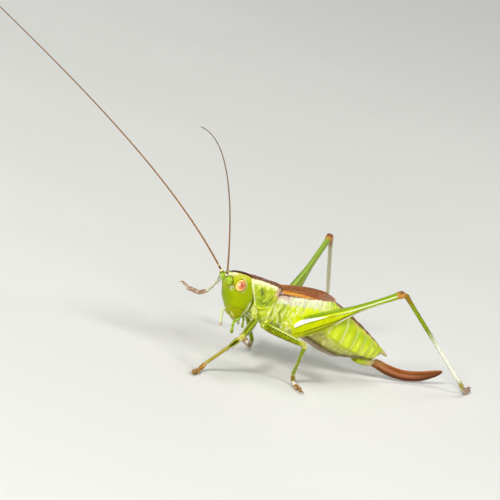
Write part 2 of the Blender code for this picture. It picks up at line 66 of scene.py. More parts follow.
Array = np.ndarray
Object = bpy.types.Object
Socket = bpy.types.NodeSocket
Tree = bpy.types.NodeTree
Couple = tuple[float, float]
Station = tuple[float, ...]
Stations = tuple[Station, ...]
Place = tuple[float, float, float]
Line = tuple[Place, ...]
Marks = dict[str, Array | float]


# ---- curves and fields


def through(stations: Sequence[Station], at: Array) -> Array:
    """Values on a smooth curve through stations.

    Args:
        stations: (place, value, value ...) in order of place.
        at: the places wanted, of any shape.

    Returns:
        An array of the shape of at, with the values on a last axis.
    """
    table = np.array(stations, float)
    places, values = table[:, 0], table[:, 1:]
    before = np.maximum(np.arange(len(places)) - 1, 0)
    after = np.minimum(np.arange(len(places)) + 1, len(places) - 1)
    slopes = (values[after] - values[before]) / (places[after] - places[before])[:, None]
    start = np.clip(np.searchsorted(places, at, side="right") - 1, 0, len(places) - 2)
    span = (places[start + 1] - places[start])[..., None]
    u = (np.asarray(at)[..., None] - places[start][..., None]) / span
    first = (values[start] * (1 + 2 * u) + slopes[start] * span * u) * (1 - u) ** 2
    second = (values[start + 1] * (3 - 2 * u) - slopes[start + 1] * span * (1 - u)) * u**2
    return first + second


def one(stations: Sequence[Couple], at: Array) -> Array:
    """The single value that through() gives."""
    return through(stations, at)[..., 0]


def ease(value: Array, low: float | Array, high: float | Array) -> Array:
    """0 at low, 1 at high and smooth between; high may be the smaller."""
    t = np.clip((value - low) / (high - low), 0.0, 1.0)
    return t * t * (3 - 2 * t)


def bell(distance: Array, width: float | Array) -> Array:
    """1 where the distance is nothing, fading out past the width."""
    return np.exp(-((distance / width) ** 2))


def unit(vectors: Array) -> Array:
    """The vectors, each made one long."""
    return vectors / (np.linalg.norm(vectors, axis=-1, keepdims=True) + 1e-12)


def folded(points: Array) -> Array:
    """The points, with those of the right side mirrored to the left."""
    return np.concatenate([np.abs(points[..., :1]), points[..., 1:]], axis=-1)


def away(points: Array, line: Sequence[Place], mirrored: bool = True) -> Array:
    """Distance of each point from a line of straight lengths.

    Args:
        points: an array with x, y, z on its last axis.
        line: two or more places.
        mirrored: whether the line is also on the other side of the body.

    Returns:
        The distances.
    """
    p = folded(points) if mirrored else points
    found = np.full(p.shape[:-1], np.inf)
    for start, end in zip(line, line[1:]):
        a, span = np.array(start), np.subtract(end, start)
        t = np.clip((p - a) @ span / (span @ span), 0, 1)
        found = np.minimum(found, np.linalg.norm(p - a - t[..., None] * span, axis=-1))
    return found


def ripple(points: Array, size: float, seed: int) -> Array:
    """A smooth, uneven field from about -1 to 1.

    Args:
        points: where it is wanted.
        size: the length of its waves.
        seed: which field.

    Returns:
        Its value at each point.
    """
    draw = np.random.default_rng(seed)
    waves = unit(draw.normal(size=(9, 3))) * draw.uniform(0.7, 1.5, (9, 1)) * 2 * pi / size
    return np.sin(points @ waves.T + draw.uniform(0, 2 * pi, 9)).mean(axis=-1) * 1.6


def heading(azimuth: float | Array, elevation: float | Array) -> Array:
    """The unit vector at azimuth degrees from +X towards +Y, and elevation degrees above the floor."""
    a, e = np.radians(azimuth), np.radians(elevation)
    return np.stack([np.cos(a) * np.cos(e), np.sin(a) * np.cos(e), np.sin(e) + 0 * a], axis=-1)


def phased(edges: Sequence[float], place: Array) -> Array:
    """How far along each place lies, from 0 at one edge to 1 at the next.

    Args:
        edges: where one length ends and the next starts, in order.
        place: the places.

    Returns:
        The phase of each.
    """
    edges = np.array(edges)
    number = np.clip(np.searchsorted(edges, place, side="right") - 1, 0, len(edges) - 2)
    return np.clip((place - edges[number]) / (edges[number + 1] - edges[number]), 0, 1)


def sided(place: Place, side: int) -> Array:
    """A place of the left side, or its mirror image."""
    return np.array(place) * (side, 1, 1)


# ---- meshes


def choose(*objs: Object) -> None:
    """Selects objects and no others.

    Args:
        *objs: the objects, of which the first becomes active.
    """
    bpy.ops.object.select_all(action="DESELECT")
    for obj in objs:
        obj.select_set(True)
    bpy.context.view_layer.objects.active = objs[0]


def started(operator: Callable[..., object], **settings: object) -> Object:
    """Adds a primitive with nothing else selected.

    Args:
        operator: the one that adds it.
        **settings: its settings.

    Returns:
        The new object.
    """
    bpy.ops.object.select_all(action="DESELECT")
    operator(**settings)
    return bpy.context.object


def in_edit(obj: Object, *operators: Callable[[], object]) -> None:
    """Runs operators on all of a mesh in edit mode.

    Args:
        obj: the object.
        *operators: what to run, in order.
    """
    choose(obj)
    bpy.ops.object.mode_set(mode="EDIT")
    bpy.ops.mesh.select_all(action="SELECT")
    for operator in operators:
        operator()
    bpy.ops.object.mode_set(mode="OBJECT")


def marked(obj: Object, marks: Marks) -> None:
    """Keeps values at each point of a mesh.

    Args:
        obj: the object.
        marks: the values, by the name that their attribute gets.
    """
    for mark, values in marks.items():
        layer = obj.data.attributes.new(mark, "FLOAT", "POINT")
        layer.data.foreach_set("value", np.clip(values, 0, 1).astype(np.float32).ravel())


def grid(name: str, points: Array, marks: Marks) -> Object:
    """A grid primitive laid through rows of points.

    Args:
        name: the piece's name.
        points: rows by columns by 3.
        marks: values at each point.

    Returns:
        The object.
    """
    rows, columns = points.shape[:2]
    obj = started(bpy.ops.mesh.primitive_grid_add, x_subdivisions=columns - 1, y_subdivisions=rows - 1,
                  size=1.0, calc_uvs=True)
    obj.name = obj.data.name = name
    obj.data.vertices.foreach_set("co", points.astype(np.float32).ravel())
    marked(obj, marks)
    return obj


def applied(obj: Object, kind: str, **settings: object) -> Object:
    """Adds a modifier and applies it.

    Args:
        obj: the object.
        kind: the modifier's type.
        **settings: its settings.

    Returns:
        The object.
    """
    choose(obj)
    modifier = obj.modifiers.new(kind.lower(), kind)
    for key, value in settings.items():
        setattr(modifier, key, value)
    bpy.ops.object.modifier_apply(modifier=modifier.name)
    return obj


def joined(name: str, objs: Sequence[Object]) -> Object:
    """Makes several objects one.

    Args:
        name: the name that it gets.
        objs: the objects.

    Returns:
        The one.
    """
    choose(*objs)
    if len(objs) > 1:
        bpy.ops.object.join()
    objs[0].name = objs[0].data.name = name
    return objs[0]


@dataclass
class Form:
    """A closed skin as rings of points round a body or limb, first ring first.

    Each point also has its share of the length, its rise from -1 below to 1 above, and its side from -1 to 1.
    """

    rings: Array
    share: Array
    rise: Array
    side: Array
    marks: Marks = field(default_factory=dict)

    def outward(self) -> Array:
        """The way out of the skin.

        Returns:
            The unit normal at each point.
        """
        around = np.roll(self.rings, -1, 1) - np.roll(self.rings, 1, 1)
        normal = unit(np.cross(around, np.gradient(self.rings, axis=0)))
        spokes = self.rings - self.rings.mean(axis=1, keepdims=True)
        return normal * np.sign((spokes * normal).sum())

    def swell(self, amount: Array | float) -> "Form":
        """Moves each point outwards by its amount."""
        self.rings = self.rings + self.outward() * np.broadcast_to(amount, self.share.shape)[..., None]
        return self

    def build(self, name: str) -> Object:
        """Makes the object: a grid rolled round, its seam merged and its ends drawn to a point.

        Args:
            name: the name that it gets.

        Returns:
            The object.
        """
        ends = [self.rings[k].mean(axis=0) + 0 * self.rings[k] for k in (0, -1)]
        rings = np.concatenate([[ends[0]], self.rings, [ends[1]]])
        rings = np.concatenate([rings, rings[:, :1]], axis=1)
        marks = {}
        for mark, values in self.marks.items():
            values = np.broadcast_to(values, self.share.shape)
            whole = np.concatenate([values[:1], values, values[-1:]])
            marks[mark] = np.concatenate([whole, whole[:, :1]], axis=1)
        obj = grid(name, rings, marks)
        in_edit(obj, lambda: bpy.ops.mesh.remove_doubles(threshold=MERGE),
                lambda: bpy.ops.mesh.normals_make_consistent(inside=False))
        bpy.ops.object.shade_smooth()
        return obj


def oval(above: float | Array, below: float | Array, points: int) -> tuple[Array, Array]:
    """Points round an oval.

    Args:
        above: its squareness above its middle, 2 for an ellipse.
        below: its squareness below its middle.
        points: how many go round.

    Returns:
        The side and the rise of each, from -1 to 1.
    """
    angle = 2 * pi * np.arange(points) / points
    power = 2.0 / np.where(np.sin(angle) > 0, above, below)
    side = np.abs(np.cos(angle)) ** power * np.sign(np.cos(angle))
    rise = np.abs(np.sin(angle)) ** power * np.sign(np.sin(angle))
    return side, rise


def sections(
    centres: Array,
    across: Array,
    up: Array,
    sizes: Array,
    points: int,
    squareness: float = 2.0,
    above: float | Array | None = None,
) -> Form:
    """Ovals on given centres.

    Args:
        centres: the middle of each ring.
        across: the unit vector to each ring's left, or one for all.
        up: the unit vector to each ring's top, or one for all.
        sizes: half width, depth above and depth below of each ring, or its radius.
        points: how many points go round.
        squareness: 2 for an ellipse, more for a squarer one.
        above: the squareness of the upper half, for all or a column of one for each ring, if it differs.

    Returns:
        The form.
    """
    if sizes.ndim == 1:
        sizes = np.repeat(sizes[:, None], 3, axis=1)
    side, rise = oval(squareness if above is None else above, squareness, points)
    side, rise = (np.broadcast_to(value, (len(centres), points)) for value in (side, rise))
    depth = np.where(rise > 0, sizes[:, 1:2], sizes[:, 2:3]) * rise
    across, up = np.broadcast_to(across, centres.shape), np.broadcast_to(up, centres.shape)
    rings = (
        centres[:, None]
        + across[:, None] * (sizes[:, :1] * side)[..., None]
        + up[:, None] * depth[..., None]
    )
    shape = rings.shape[:2]
    share = np.broadcast_to(np.linspace(0, 1, shape[0])[:, None], shape)
    return Form(rings, share, rise, side)


def tube(path: Array, sizes: Array, points: int, squareness: float = 2.0) -> Form:
    """A limb round a path, whose frame turns no more than the path does.

    Args:
        path: the middle of each ring.
        sizes: those of each ring, as sections() takes them.
        points: how many points go round.
        squareness: 2 for an ellipse, more for a squarer one.

    Returns:
        The form.
    """
    along = unit(np.gradient(path, axis=0))
    across = [unit(np.cross(along[0], UP))]
    for direction in along[1:]:
        across.append(unit(across[-1] - direction * (across[-1] @ direction)))
    across = np.array(across)
    return sections(path, across, np.cross(across, along), sizes, points, squareness)


def domed(share: Array, start: float, end: float) -> Array:
    """How much of its full size a limb has, where its two ends are rounded.

    Args:
        share: places from 0 to 1 along it.
        start: the share of its length over which its start is rounded.
        end: the same of its end.

    Returns:
        The share of the full size at each place.
    """
    first = np.clip(share / start, 0, 1)
    last = np.clip((1 - share) / end, 0, 1)
    return np.sqrt(1 - (1 - first) ** 2) * np.sqrt(1 - (1 - last) ** 2)


def profile(stations: Sequence[Station], rings: int) -> tuple[Array, Array, Array, Array]:
    """A body's outline in its middle plane.

    Args:
        stations: (place, y and z of one edge, y and z of the other, half width) along it.
        rings: how many rings are wanted.

    Returns:
        Each ring's place, its points on the two edges, and its half width.
    """
    place = np.linspace(stations[0][0], stations[-1][0], rings)
    values = through(stations, place)
    edges = (np.insert(values[:, k : k + 2], 0, 0.0, axis=1) for k in (0, 2))
    return place, *edges, values[:, 4]


def line_of(start: Array, end: Array, rings: int) -> Array:
    """Points from start to end."""
    return start + (np.asarray(end) - start) * np.linspace(0, 1, rings)[:, None]


def bent(start: Array, bend: Array, end: Array, rings: int) -> Array:
    """Points on a curve from start to end, drawn towards bend."""
    t = np.linspace(0, 1, rings)[:, None]
    return start * (1 - t) ** 2 + bend * 2 * t * (1 - t) + end * t**2


def strand(start: Array, end: Array, radii: Sequence[Couple], rings: int, points: int, ends: Couple) -> Form:
    """A straight limb of round section.

    Args:
        start: where its middle line starts.
        end: where it ends.
        radii: (share of the length, radius) along it.
        rings: how many it has.
        points: how many go round it.
        ends: the shares of its length over which its two ends are rounded.

    Returns:
        The form.
    """
    share = np.linspace(0, 1, rings)
    return tube(line_of(start, end, rings), one(radii, share) * domed(share, *ends), points)


# ---- finishes


class Pattern(Enum):
    """What breaks up a colour or a relief."""

    CLOUD = "cloud"
    DOTS = "dots"
    NET = "net"


Size = float | Place  # in millimetres, on each axis if they differ
UNEVEN_SIZE = 0.5  # of the patches in which the roughness wanders, in millimetres


@dataclass(frozen=True)
class Layer:
    """A colour over those before it, where a mark or a pattern is strong."""

    colour: str
    mark: str = ""
    strength: float = 1.0
    size: Size | None = None  # of the pattern, if it has one
    cover: Couple = (0.0, 1.0)  # pattern values at which the colour starts and is full
    pattern: Pattern = Pattern.CLOUD


@dataclass(frozen=True)
class Relief:
    """Fine height in a surface."""

    pattern: Pattern
    size: Size
    depth: float  # in millimetres


@dataclass(frozen=True)
class Finish:
    """A material: what it is, its colours and its gloss."""

    name: str
    base: str
    layers: tuple[Layer, ...] = ()
    reliefs: tuple[Relief, ...] = ()
    roughness: float = 0.35
    uneven: float = 0.08  # how far the roughness wanders
    coat: float = 0.0
    polish: float = 0.12  # roughness of the coat
    flesh: float = 0.1  # share of the light that goes under the surface
    flesh_reach: Place = (0.25, 0.3, 0.08)  # in millimetres, for red, green and blue
    ior: float = 1.34
    gloss: str = "#eef25a"  # tint of what it mirrors: waxy green cuticle mirrors yellowish


def linear(colour: str) -> tuple[float, float, float, float]:
    """The linear colour of an sRGB hex one."""
    parts = [int(colour[k : k + 2], 16) / 255 for k in (1, 3, 5)]
    return (*(c / 12.92 if c <= 0.04045 else ((c + 0.055) / 1.055) ** 2.4 for c in parts), 1.0)


def add(tree: Tree, kind: str, inputs: dict | None = None, **settings: object) -> bpy.types.Node:
    """Adds a node.

    Args:
        tree: where it goes.
        kind: its type.
        inputs: a value, or the output to link, for each socket by name or number.
        settings: its own properties.

    Returns:
        The node.
    """
    node = tree.nodes.new(kind)
    for key, value in settings.items():
        setattr(node, key, value)
    for key, value in (inputs or {}).items():
        if isinstance(value, Socket):
            tree.links.new(value, node.inputs[key])
        else:
            node.inputs[key].default_value = value
    return node


def pattern_value(tree: Tree, pattern: Pattern, size: Size) -> Socket:
    """The output of a pattern that is high where it shows.

    Args:
        tree: where its nodes go.
        pattern: which one.
        size: its real size in millimetres.

    Returns:
        The socket.
    """
    place = add(tree, "ShaderNodeTexCoord").outputs["Object"]
    scale = tuple(1 / (MM * length) for length in np.broadcast_to(size, 3))
    vector = add(tree, "ShaderNodeMapping", {"Vector": place, "Scale": scale}).outputs["Vector"]
    if pattern is Pattern.CLOUD:
        inputs = {"Vector": vector, "Scale": 1.0, "Detail": 3.0, "Roughness": 0.6}
        return add(tree, "ShaderNodeTexNoise", inputs).outputs[0]
    feature = "F1" if pattern is Pattern.DOTS else "DISTANCE_TO_EDGE"
    cells = add(tree, "ShaderNodeTexVoronoi", {"Vector": vector, "Scale": 1.0}, feature=feature)
    inputs = {0: 1.0, 1: cells.outputs["Distance"]}
    return add(tree, "ShaderNodeMath", inputs, operation="SUBTRACT").outputs[0]


def laid(tree: Tree, below: Socket, layer: Layer) -> Socket:
    """The colour with one more layer over it.

    Args:
        tree: where its nodes go.
        below: the colour so far.
        layer: what goes over it.

    Returns:
        The new colour.
    """
    amount = layer.strength
    if layer.mark:
        inputs = {0: add(tree, "ShaderNodeAttribute", attribute_name=layer.mark).outputs["Fac"], 1: amount}
        amount = add(tree, "ShaderNodeMath", inputs, operation="MULTIPLY").outputs[0]
    if layer.size is not None:
        value = pattern_value(tree, layer.pattern, layer.size)
        inputs = {"Value": value, "From Min": layer.cover[0], "From Max": layer.cover[1]}
        shown = add(tree, "ShaderNodeMapRange", inputs, interpolation_type="SMOOTHSTEP").outputs["Result"]
        amount = add(tree, "ShaderNodeMath", {0: shown, 1: amount}, operation="MULTIPLY").outputs[0]
    inputs = {0: amount, 6: below, 7: linear(layer.colour)}
    return add(tree, "ShaderNodeMix", inputs, data_type="RGBA").outputs[2]


def material(finish: Finish) -> bpy.types.Material:
    """The material of a finish, made once.

    Args:
        finish: what it is to look like.

    Returns:
        The material.
    """
    found = bpy.data.materials.get(finish.name)
    if found:
        return found
    made = bpy.data.materials.new(finish.name)
    made.use_nodes = True
    tree = made.node_tree
    shader = tree.nodes["Principled BSDF"]
    for key, value in {
        "IOR": finish.ior,
        "Specular Tint": linear(finish.gloss),
        "Coat Weight": finish.coat,
        "Coat Roughness": finish.polish,
        "Subsurface Weight": finish.flesh,
        "Subsurface Radius": tuple(MM * reach for reach in finish.flesh_reach),
        "Subsurface Scale": 1.0,
    }.items():
        shader.inputs[key].default_value = value
    colour = add(tree, "ShaderNodeRGB").outputs[0]
    colour.default_value = linear(finish.base)
    for layer in finish.layers:
        colour = laid(tree, colour, layer)
    tree.links.new(colour, shader.inputs["Base Color"])
    spread = {"From Min": 0.3, "From Max": 0.7, "To Min": finish.roughness - finish.uneven,
              "To Max": finish.roughness + finish.uneven,
              "Value": pattern_value(tree, Pattern.CLOUD, UNEVEN_SIZE)}
    tree.links.new(add(tree, "ShaderNodeMapRange", spread).outputs["Result"], shader.inputs["Roughness"])
    below = {}
    for relief in finish.reliefs:
        height = pattern_value(tree, relief.pattern, relief.size)
        inputs = {"Height": height, "Distance": relief.depth * MM, "Strength": 1.0} | below
        below = {"Normal": add(tree, "ShaderNodeBump", inputs).outputs["Normal"]}
    for normal in below.values():
        tree.links.new(normal, shader.inputs["Normal"])
    return made


# All are dyed resin casts of insect cuticle: a thin waxy shell, so each has a soft satin gloss, a little
# light under the surface and the fine cells of cuticle, about 0.02 across and drawn coarser, to show.
CLOUD, DOTS, NET = Pattern.CLOUD, Pattern.DOTS, Pattern.NET
CELLS = Relief(DOTS, 0.055, 0.004)
GRAIN = Relief(CLOUD, 0.16, 0.008)

# Smooth waxy cuticle: satin, yellow-green, with a chalky patch beside the brown stripe and dark grooves; the
# dark rings round the scapes and eyes are painted shade, and the pale crescent behind each eye a painted
# highlight.
FACE = Finish("face_cuticle", "#97a802", (
    Layer("#a6b40a", "", 0.55, 0.55, (0.4, 0.7)),
    Layer("#7c9400", "shade", 0.8),
    Layer("#c6c430", "crown", 0.85),
    Layer("#f6f0dc", "patch", 1.0, 0.2, (0.41, 0.53)),
    Layer("#8b9e06", "hindmost", 0.6),
    Layer("#b39ba6", "patch", 0.6, 0.13, (0.55, 0.66)),
    Layer("#9e9804", "jaw", 0.5),
    # the cheek's pale rear rim is its own colour; the pale crescent behind each eye is a painted highlight
    Layer("#f6f6c4", "rim"),
    Layer("#e2cfa0", "lip", 0.9),
    Layer("#6a3c08", "suture", 0.65),
    # painted shade: a dark brown ring round each scape, where it sits in its socket
    Layer("#6b4a18", "socket", 0.45),
    Layer("#3a160e", "stripe"),
    Layer("#6c3018", "stripe", 0.5, 0.12, (0.52, 0.64)),
    # a purple-brown fleck down the front of the peak, and painted shade: a faint dark ring in the groove
    # round each eye
    Layer("#6b3b3b", "peak_dark_and_orbit_shade", 0.8),
), (CELLS, GRAIN), roughness=0.36)
# Clear cast resin over a painted ball: wet-looking, with one small hard spark over amber and rust.
# The lenses are about 0.02 across; these are coarser, to show.
EYE = Finish("eye_lens", "#f8d468", (
    Layer("#ec9c50", "ring"),
    Layer("#cc6c40", "disc"),
    Layer("#a8523a", "disc", 0.4, 0.09, (0.5, 0.65)),
    Layer("#6e1c12", "spot"),
), (Relief(DOTS, 0.042, 0.0005),), roughness=0.14, uneven=0.03, coat=1.0, polish=0.05, flesh=0.12, ior=1.45,
    gloss="#ffffff")
# Thin horny thread: tan and dull, ringed darker at each of its joints.
FEELER = Finish("feeler_cuticle", "#a0703c", (
    Layer("#3d2414", "joint", 0.85),
    Layer("#d9c39a", "pale"),
    Layer("#6e5232", "far", 0.8),
), (Relief(CLOUD, 0.06, 0.004),), roughness=0.38, gloss="#ffdca8")
# Glossy cuticle of the feelers' thick first joints: mottled green under a thin coat of wax.
SCAPE = Finish("scape_cuticle", "#a6c60e", (
    Layer("#7c9a04", "", 0.8, 0.2, (0.45, 0.6)),
    Layer("#e6efc0", "", 0.7, 0.14, (0.58, 0.64)),
    Layer("#dfd0a2", "pale"),
    Layer("#3a2418", "joint"),
), (CELLS,), roughness=0.24, coat=0.5)
# Soft cuticle that lets some light in: pale, with brown or pinkish tips.
PALP = Finish("palp_cuticle", "#86a80a", (
    Layer("#e2ecc4", "pale", 0.85),
    Layer("#cfdc96", "joint", 0.7),
    Layer("#7d5c10", "tip", 0.9),
    Layer("#caa08a", "pink", 0.95),
), (CELLS,), roughness=0.3)
# Hard pitted plate under a coat of wax: sharp sparks on bumpy green, and a brown stripe edged in cream.
SHIELD = Finish("shield_cuticle", "#97ae08", (
    Layer("#b6c426", "", 0.75, 0.45, (0.42, 0.6)),
    Layer("#d9d868", "", 0.6, (0.5, 0.13, 0.35), (0.54, 0.66)),
    # painted shade: darker green along the flank's two grooves
    Layer("#6f8804", "hollow_shade", 0.85),
    Layer("#d8d42c", "gold", 0.85),
    Layer("#c6cc04", "rim"),
    Layer("#dfe6a6", "collar"),
    Layer("#4c3c50", "mark"),
    Layer("#fbf4b8", "band"),
    Layer("#c09c86", "hem", 0.9),
    Layer("#e8d8c8", "hem", 0.6, (0.3, 0.12, 0.2), (0.53, 0.62)),
    Layer("#7c3a08", "stripe"),
    Layer("#9a5a26", "stripe", 0.7, (0.12, 0.5, 0.12), (0.5, 0.64)),
    Layer("#3f1708", "stripe_edge"),
), (Relief(DOTS, 0.13, 0.008), CELLS, GRAIN), roughness=0.24, coat=0.6, polish=0.08)
# Soft folded cuticle: satin, with a little light going under the surface; the bright yellow of its flanks is
# painted light over their own lime colour.
TRUNK = Finish("trunk_cuticle", "#b8c80c", (
    Layer("#9cb812", "", 0.6, 0.8, (0.45, 0.65)),
    # painted light over the flanks' own lime colour: brighter yellow along the middle of the flanks and of
    # the back's plates
    Layer("#dbe606", "lime_and_painted_light", 0.95),
    Layer("#a0c030", "front_cool", 0.6),
    Layer("#eaee80", "lime_and_painted_light", 0.65, (1.3, 0.24, 1.0), (0.48, 0.66)),
    Layer("#b2c414", "lime_and_painted_light", 0.5, (1.2, 0.2, 1.0), (0.54, 0.68)),
    Layer("#dde2b8", "bloom", 0.95),
    Layer("#c8aea4", "bloom", 0.75, (0.9, 0.24, 0.6), (0.48, 0.62)),
    Layer("#bcd27c", "bloom", 0.6, (1.0, 0.21, 0.8), (0.52, 0.66)),
    Layer("#eef4e4", "bloom", 0.75, (0.8, 0.19, 0.6), (0.53, 0.66)),
    Layer("#b2b258", "belly"),
    Layer("#e2e29c", "belly", 0.8, (0.6, 0.35, 0.4), (0.48, 0.66)),
    Layer("#a2ac2c", "belly", 0.6, (0.5, 0.3, 0.6), (0.52, 0.64)),
    Layer("#8c7850", "belly", 0.7, (0.5, 0.42, 0.3), (0.5, 0.64)),
    Layer("#a28a70", "keel"),
    Layer("#4a3406", "keel_line"),
    Layer("#f0f0a4", "seam", 0.9),
    Layer("#8e6430", "stripe"),
    Layer("#663c18", "stripe", 0.7, (0.15, 0.6, 0.3), (0.46, 0.6)),
    Layer("#ecca6a", "stripe_edge", 0.7),
    Layer("#98a80e", "pleura", 0.7, (0.4, 0.2, 0.4), (0.5, 0.62)),
    # painted highlights: a pale band on the side plates beside their front grooves, and near-white streaks
    # over the thorax's side
    Layer("#dbe080", "plate", 0.75),
    Layer("#f0f2c8", "pleura", 0.75, (0.3, 0.14, 0.4), (0.54, 0.63)),
    Layer("#c2a498", "hinge", 0.85),
    # painted shade: darker green in the grooves between the thorax's side plates
    Layer("#7d8a1a", "crease_line_and_shade", 0.75),
    Layer("#4c3a3a", "dark", 0.85),
), (CELLS, GRAIN, Relief(CLOUD, (0.6, 0.12, 0.6), 0.012)), roughness=0.34, coat=0.35)
# Leathery membrane like parchment: streaked and veined along its length, and it mirrors little.
WING = Finish("wing_membrane", "#a8662a", (
    Layer("#6c340a", "", 0.8, (0.16, 1.1, 0.16), (0.45, 0.56)),
    Layer("#84382a", "maroon", 0.9),
    Layer("#54201a", "maroon", 0.6, (0.12, 0.7, 0.12), (0.5, 0.6)),
    Layer("#f2aa1c", "gold"),
    Layer("#c06c10", "gold", 0.7, (0.1, 0.8, 0.1), (0.5, 0.6)),
    Layer("#8c6c58", "dusk", 0.9),
    Layer("#d29e70", "hem"),
    Layer("#c4aca0", "root", 0.85),
    Layer("#7a3c0c", "crest", 0.7),
    Layer("#6b331a", "vein", 0.75),
    Layer("#c69a6e", "", 0.35, (0.2, 0.34, 0.2), (0.9, 0.99), NET),
), (Relief(NET, (0.2, 0.34, 0.2), 0.02),), roughness=0.36, uneven=0.05, ior=1.25, gloss="#ffc080")
# Polished horn: brown, lined along its length, with one warm narrow highlight.
BLADE = Finish("blade_cuticle", "#9c6630", (
    Layer("#6c340a", "far", 0.9),
    Layer("#b8744e", "middle", 0.85),
    Layer("#4c1c06", "lower", 0.95),
    Layer("#a2581c", "upper", 0.6),
    Layer("#8c7420", "hem", 0.7),
    Layer("#a08050", "root", 0.8),
), (Relief(CLOUD, (0.2, 1.0, 0.1), 0.006),), roughness=0.26, uneven=0.05, coat=0.1, gloss="#ffd0a0")
# Thick soft cuticle: dull green that turns tan towards each tip.
TAIL = Finish("tail_cuticle", "#a8b80e", (
    Layer("#8ca410", "", 0.6, 0.3, (0.45, 0.6)),
    Layer("#c9cf5c", "", 0.6, 0.25, (0.52, 0.62)),
    Layer("#a08448", "", 0.8, 0.2, (0.56, 0.64)),
    Layer("#c6a888", "tip", 0.9),
    Layer("#e6e8d8", "pale"),
), (CELLS, GRAIN), roughness=0.32)
# Waxed cuticle in folds: mottled yellow-green, with white flecks that are painted highlights.
HIP = Finish("hip_cuticle", "#b9bf1c", (
    Layer("#e2e39a", "", 0.85, 0.28, (0.46, 0.6)),
    # painted highlights: white flecks
    Layer("#f6f6dc", "", 0.8, 0.17, (0.58, 0.66)),
    Layer("#a08a2c", "", 0.6, 0.2, (0.6, 0.68)),
    Layer("#98a404", "green", 0.7),
    # ochre lines in the coxa's creases and round the trochanter, their own colour
    Layer("#86940c", "crease_line_and_shade", 0.8),
    Layer("#57412a", "dark", 0.8),
), (CELLS, GRAIN), roughness=0.3, coat=0.5)
# Smooth hard cuticle: fresh green with rows of dark dots and a brown knee; the white lines along its keels
# and the white patch on its outer face are painted highlights.
THIGH = Finish("thigh_cuticle", "#c8d202", (
    Layer("#aebc02", "", 0.55, 0.6, (0.42, 0.62)),
    Layer("#7c9e0c", "upper", 0.85),
    Layer("#b0b404", "lower", 0.6),
    Layer("#789408", "distal", 0.75),
    Layer("#7c9440", "shaded", 0.7),
    # painted highlights: white lines along the lower keel and the outer face's middle keel
    Layer("#fdfdea", "edge", 0.95),
    # painted highlight: a broad white patch on the outer face near the root
    Layer("#fdfff6", "patch"),
    Layer("#444804", "lines", 0.85),
    Layer("#26300a", "dots", 0.95),
    Layer("#b8803e", "knee"),
    Layer("#6a3c30", "knee_top", 0.9),
), (CELLS, GRAIN), roughness=0.3)
# The same on the thin legs: darker green, blotched and lined with dark spots.
LIMB = Finish("limb_cuticle", "#8c9e00", (
    Layer("#708a02", "", 0.7, 0.35, (0.42, 0.6)),
    Layer("#a8b006", "upper", 0.8),
    Layer("#909c04", "lower", 0.6),
    # painted highlight: a pale line along the upper keel
    Layer("#eef0b8", "edge", 0.85),
    Layer("#6a4410", "blots", 0.95, 0.16, (0.48, 0.55)),
    Layer("#2e3608", "lines", 0.9),
    Layer("#1c2204", "dots"),
    Layer("#c4bc5c", "knee"),
    Layer("#7c5428", "knee", 0.85, 0.14, (0.5, 0.6)),
), (CELLS, GRAIN), roughness=0.28, coat=0.12)
# Hard cuticle of the shins: olive, pale silver in places, partly painted highlight, and tan at its ends.
SHIN = Finish("shin_cuticle", "#7c9206", (
    Layer("#96a022", "", 0.6, 0.4, (0.45, 0.6)),
    Layer("#6a5c08", "upper", 0.7),
    # pale silver, partly painted highlight: on the hind shins' inner faces and far parts and along the top of
    # the near fore shin, and painted light over all the far fore shin
    Layer("#f0f0e0", "silver_and_painted_highlight", 0.95),
    Layer("#9a8e6c", "silver_and_painted_highlight", 0.5, (0.14, 0.25, 0.3), (0.57, 0.64)),
    Layer("#a08a3c", "tan", 0.85),
    Layer("#5e4c0a", "under", 0.7),
    Layer("#c8c070", "knee"),
    Layer("#8e6420", "amber", 0.85),
    Layer("#c89a6a", "peach", 0.7),
    Layer("#300c06", "slit"),
), (CELLS, GRAIN), roughness=0.3)
# Thin horny cuticle that shines like varnish: amber, with pale soles and dark joints.
FOOT = Finish("foot_cuticle", "#a67a30", (
    Layer("#7a481c", "", 0.8, 0.2, (0.5, 0.62)),
    Layer("#8d6c5e", "violet", 0.8),
    Layer("#74640e", "leafy", 0.9),
    # painted highlight: a white glare on top of the second joint of a middle foot
    Layer("#f4efe4", "painted_highlight"),
    Layer("#d8c69c", "pale", 0.5),
    Layer("#4a2c0e", "joint", 0.8),
), (GRAIN,), roughness=0.2, uneven=0.05, coat=0.4, gloss="#ffe0b0")
# Hard smooth horn: brown, darker at the tip.
CLAW = Finish("claw_horn", "#9a6a3c", (
    Layer("#4a2a14", "tip"),
), (Relief(CLOUD, 0.08, 0.003),), roughness=0.2, uneven=0.03, flesh=0.05, gloss="#ffe0b0")
# Stiff hair: pale straw that catches the light.
BRISTLE = Finish("bristle_horn", "#d6d3ae", (
    Layer("#7a5a34", "", 0.6, 0.9, (0.5, 0.6)),
), (Relief(CLOUD, 0.05, 0.002),), roughness=0.3, flesh=0.05, gloss="#ffffff")


# ---- fitting to the frame


def body_origin() -> Vector:
    """Where the insect's own frame has its origin.

    Returns:
        The place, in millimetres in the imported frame.
    """
    corners = [corner for word in SIDES.values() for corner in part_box(f"eye_{word}")]
    middle = sum(corners, Vector()) / len(corners) / MM
    return middle - Vector(EYE_MIDDLE)


ORIGIN = body_origin()


def settle(obj: Object, finish: Finish, nodes: Iterable[str] = ()) -> Object:
    """Puts a finished piece at its packed place, dresses it and ties it to the frame.

    Args:
        obj: the piece, in millimetres in the insect's frame.
        finish: its material.
        nodes: the solids it stands for.

    Returns:
        The piece.
    """
    obj.data.transform(Matrix.Scale(MM, 4) @ Matrix.Translation(ORIGIN))
    obj.data.materials.clear()
    obj.data.materials.append(material(finish))
    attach(obj, ROOT)
    if nodes:
        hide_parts(*nodes)
    log.info("%s: %d faces", obj.name, len(obj.data.polygons))
    return obj


# ---- bristles


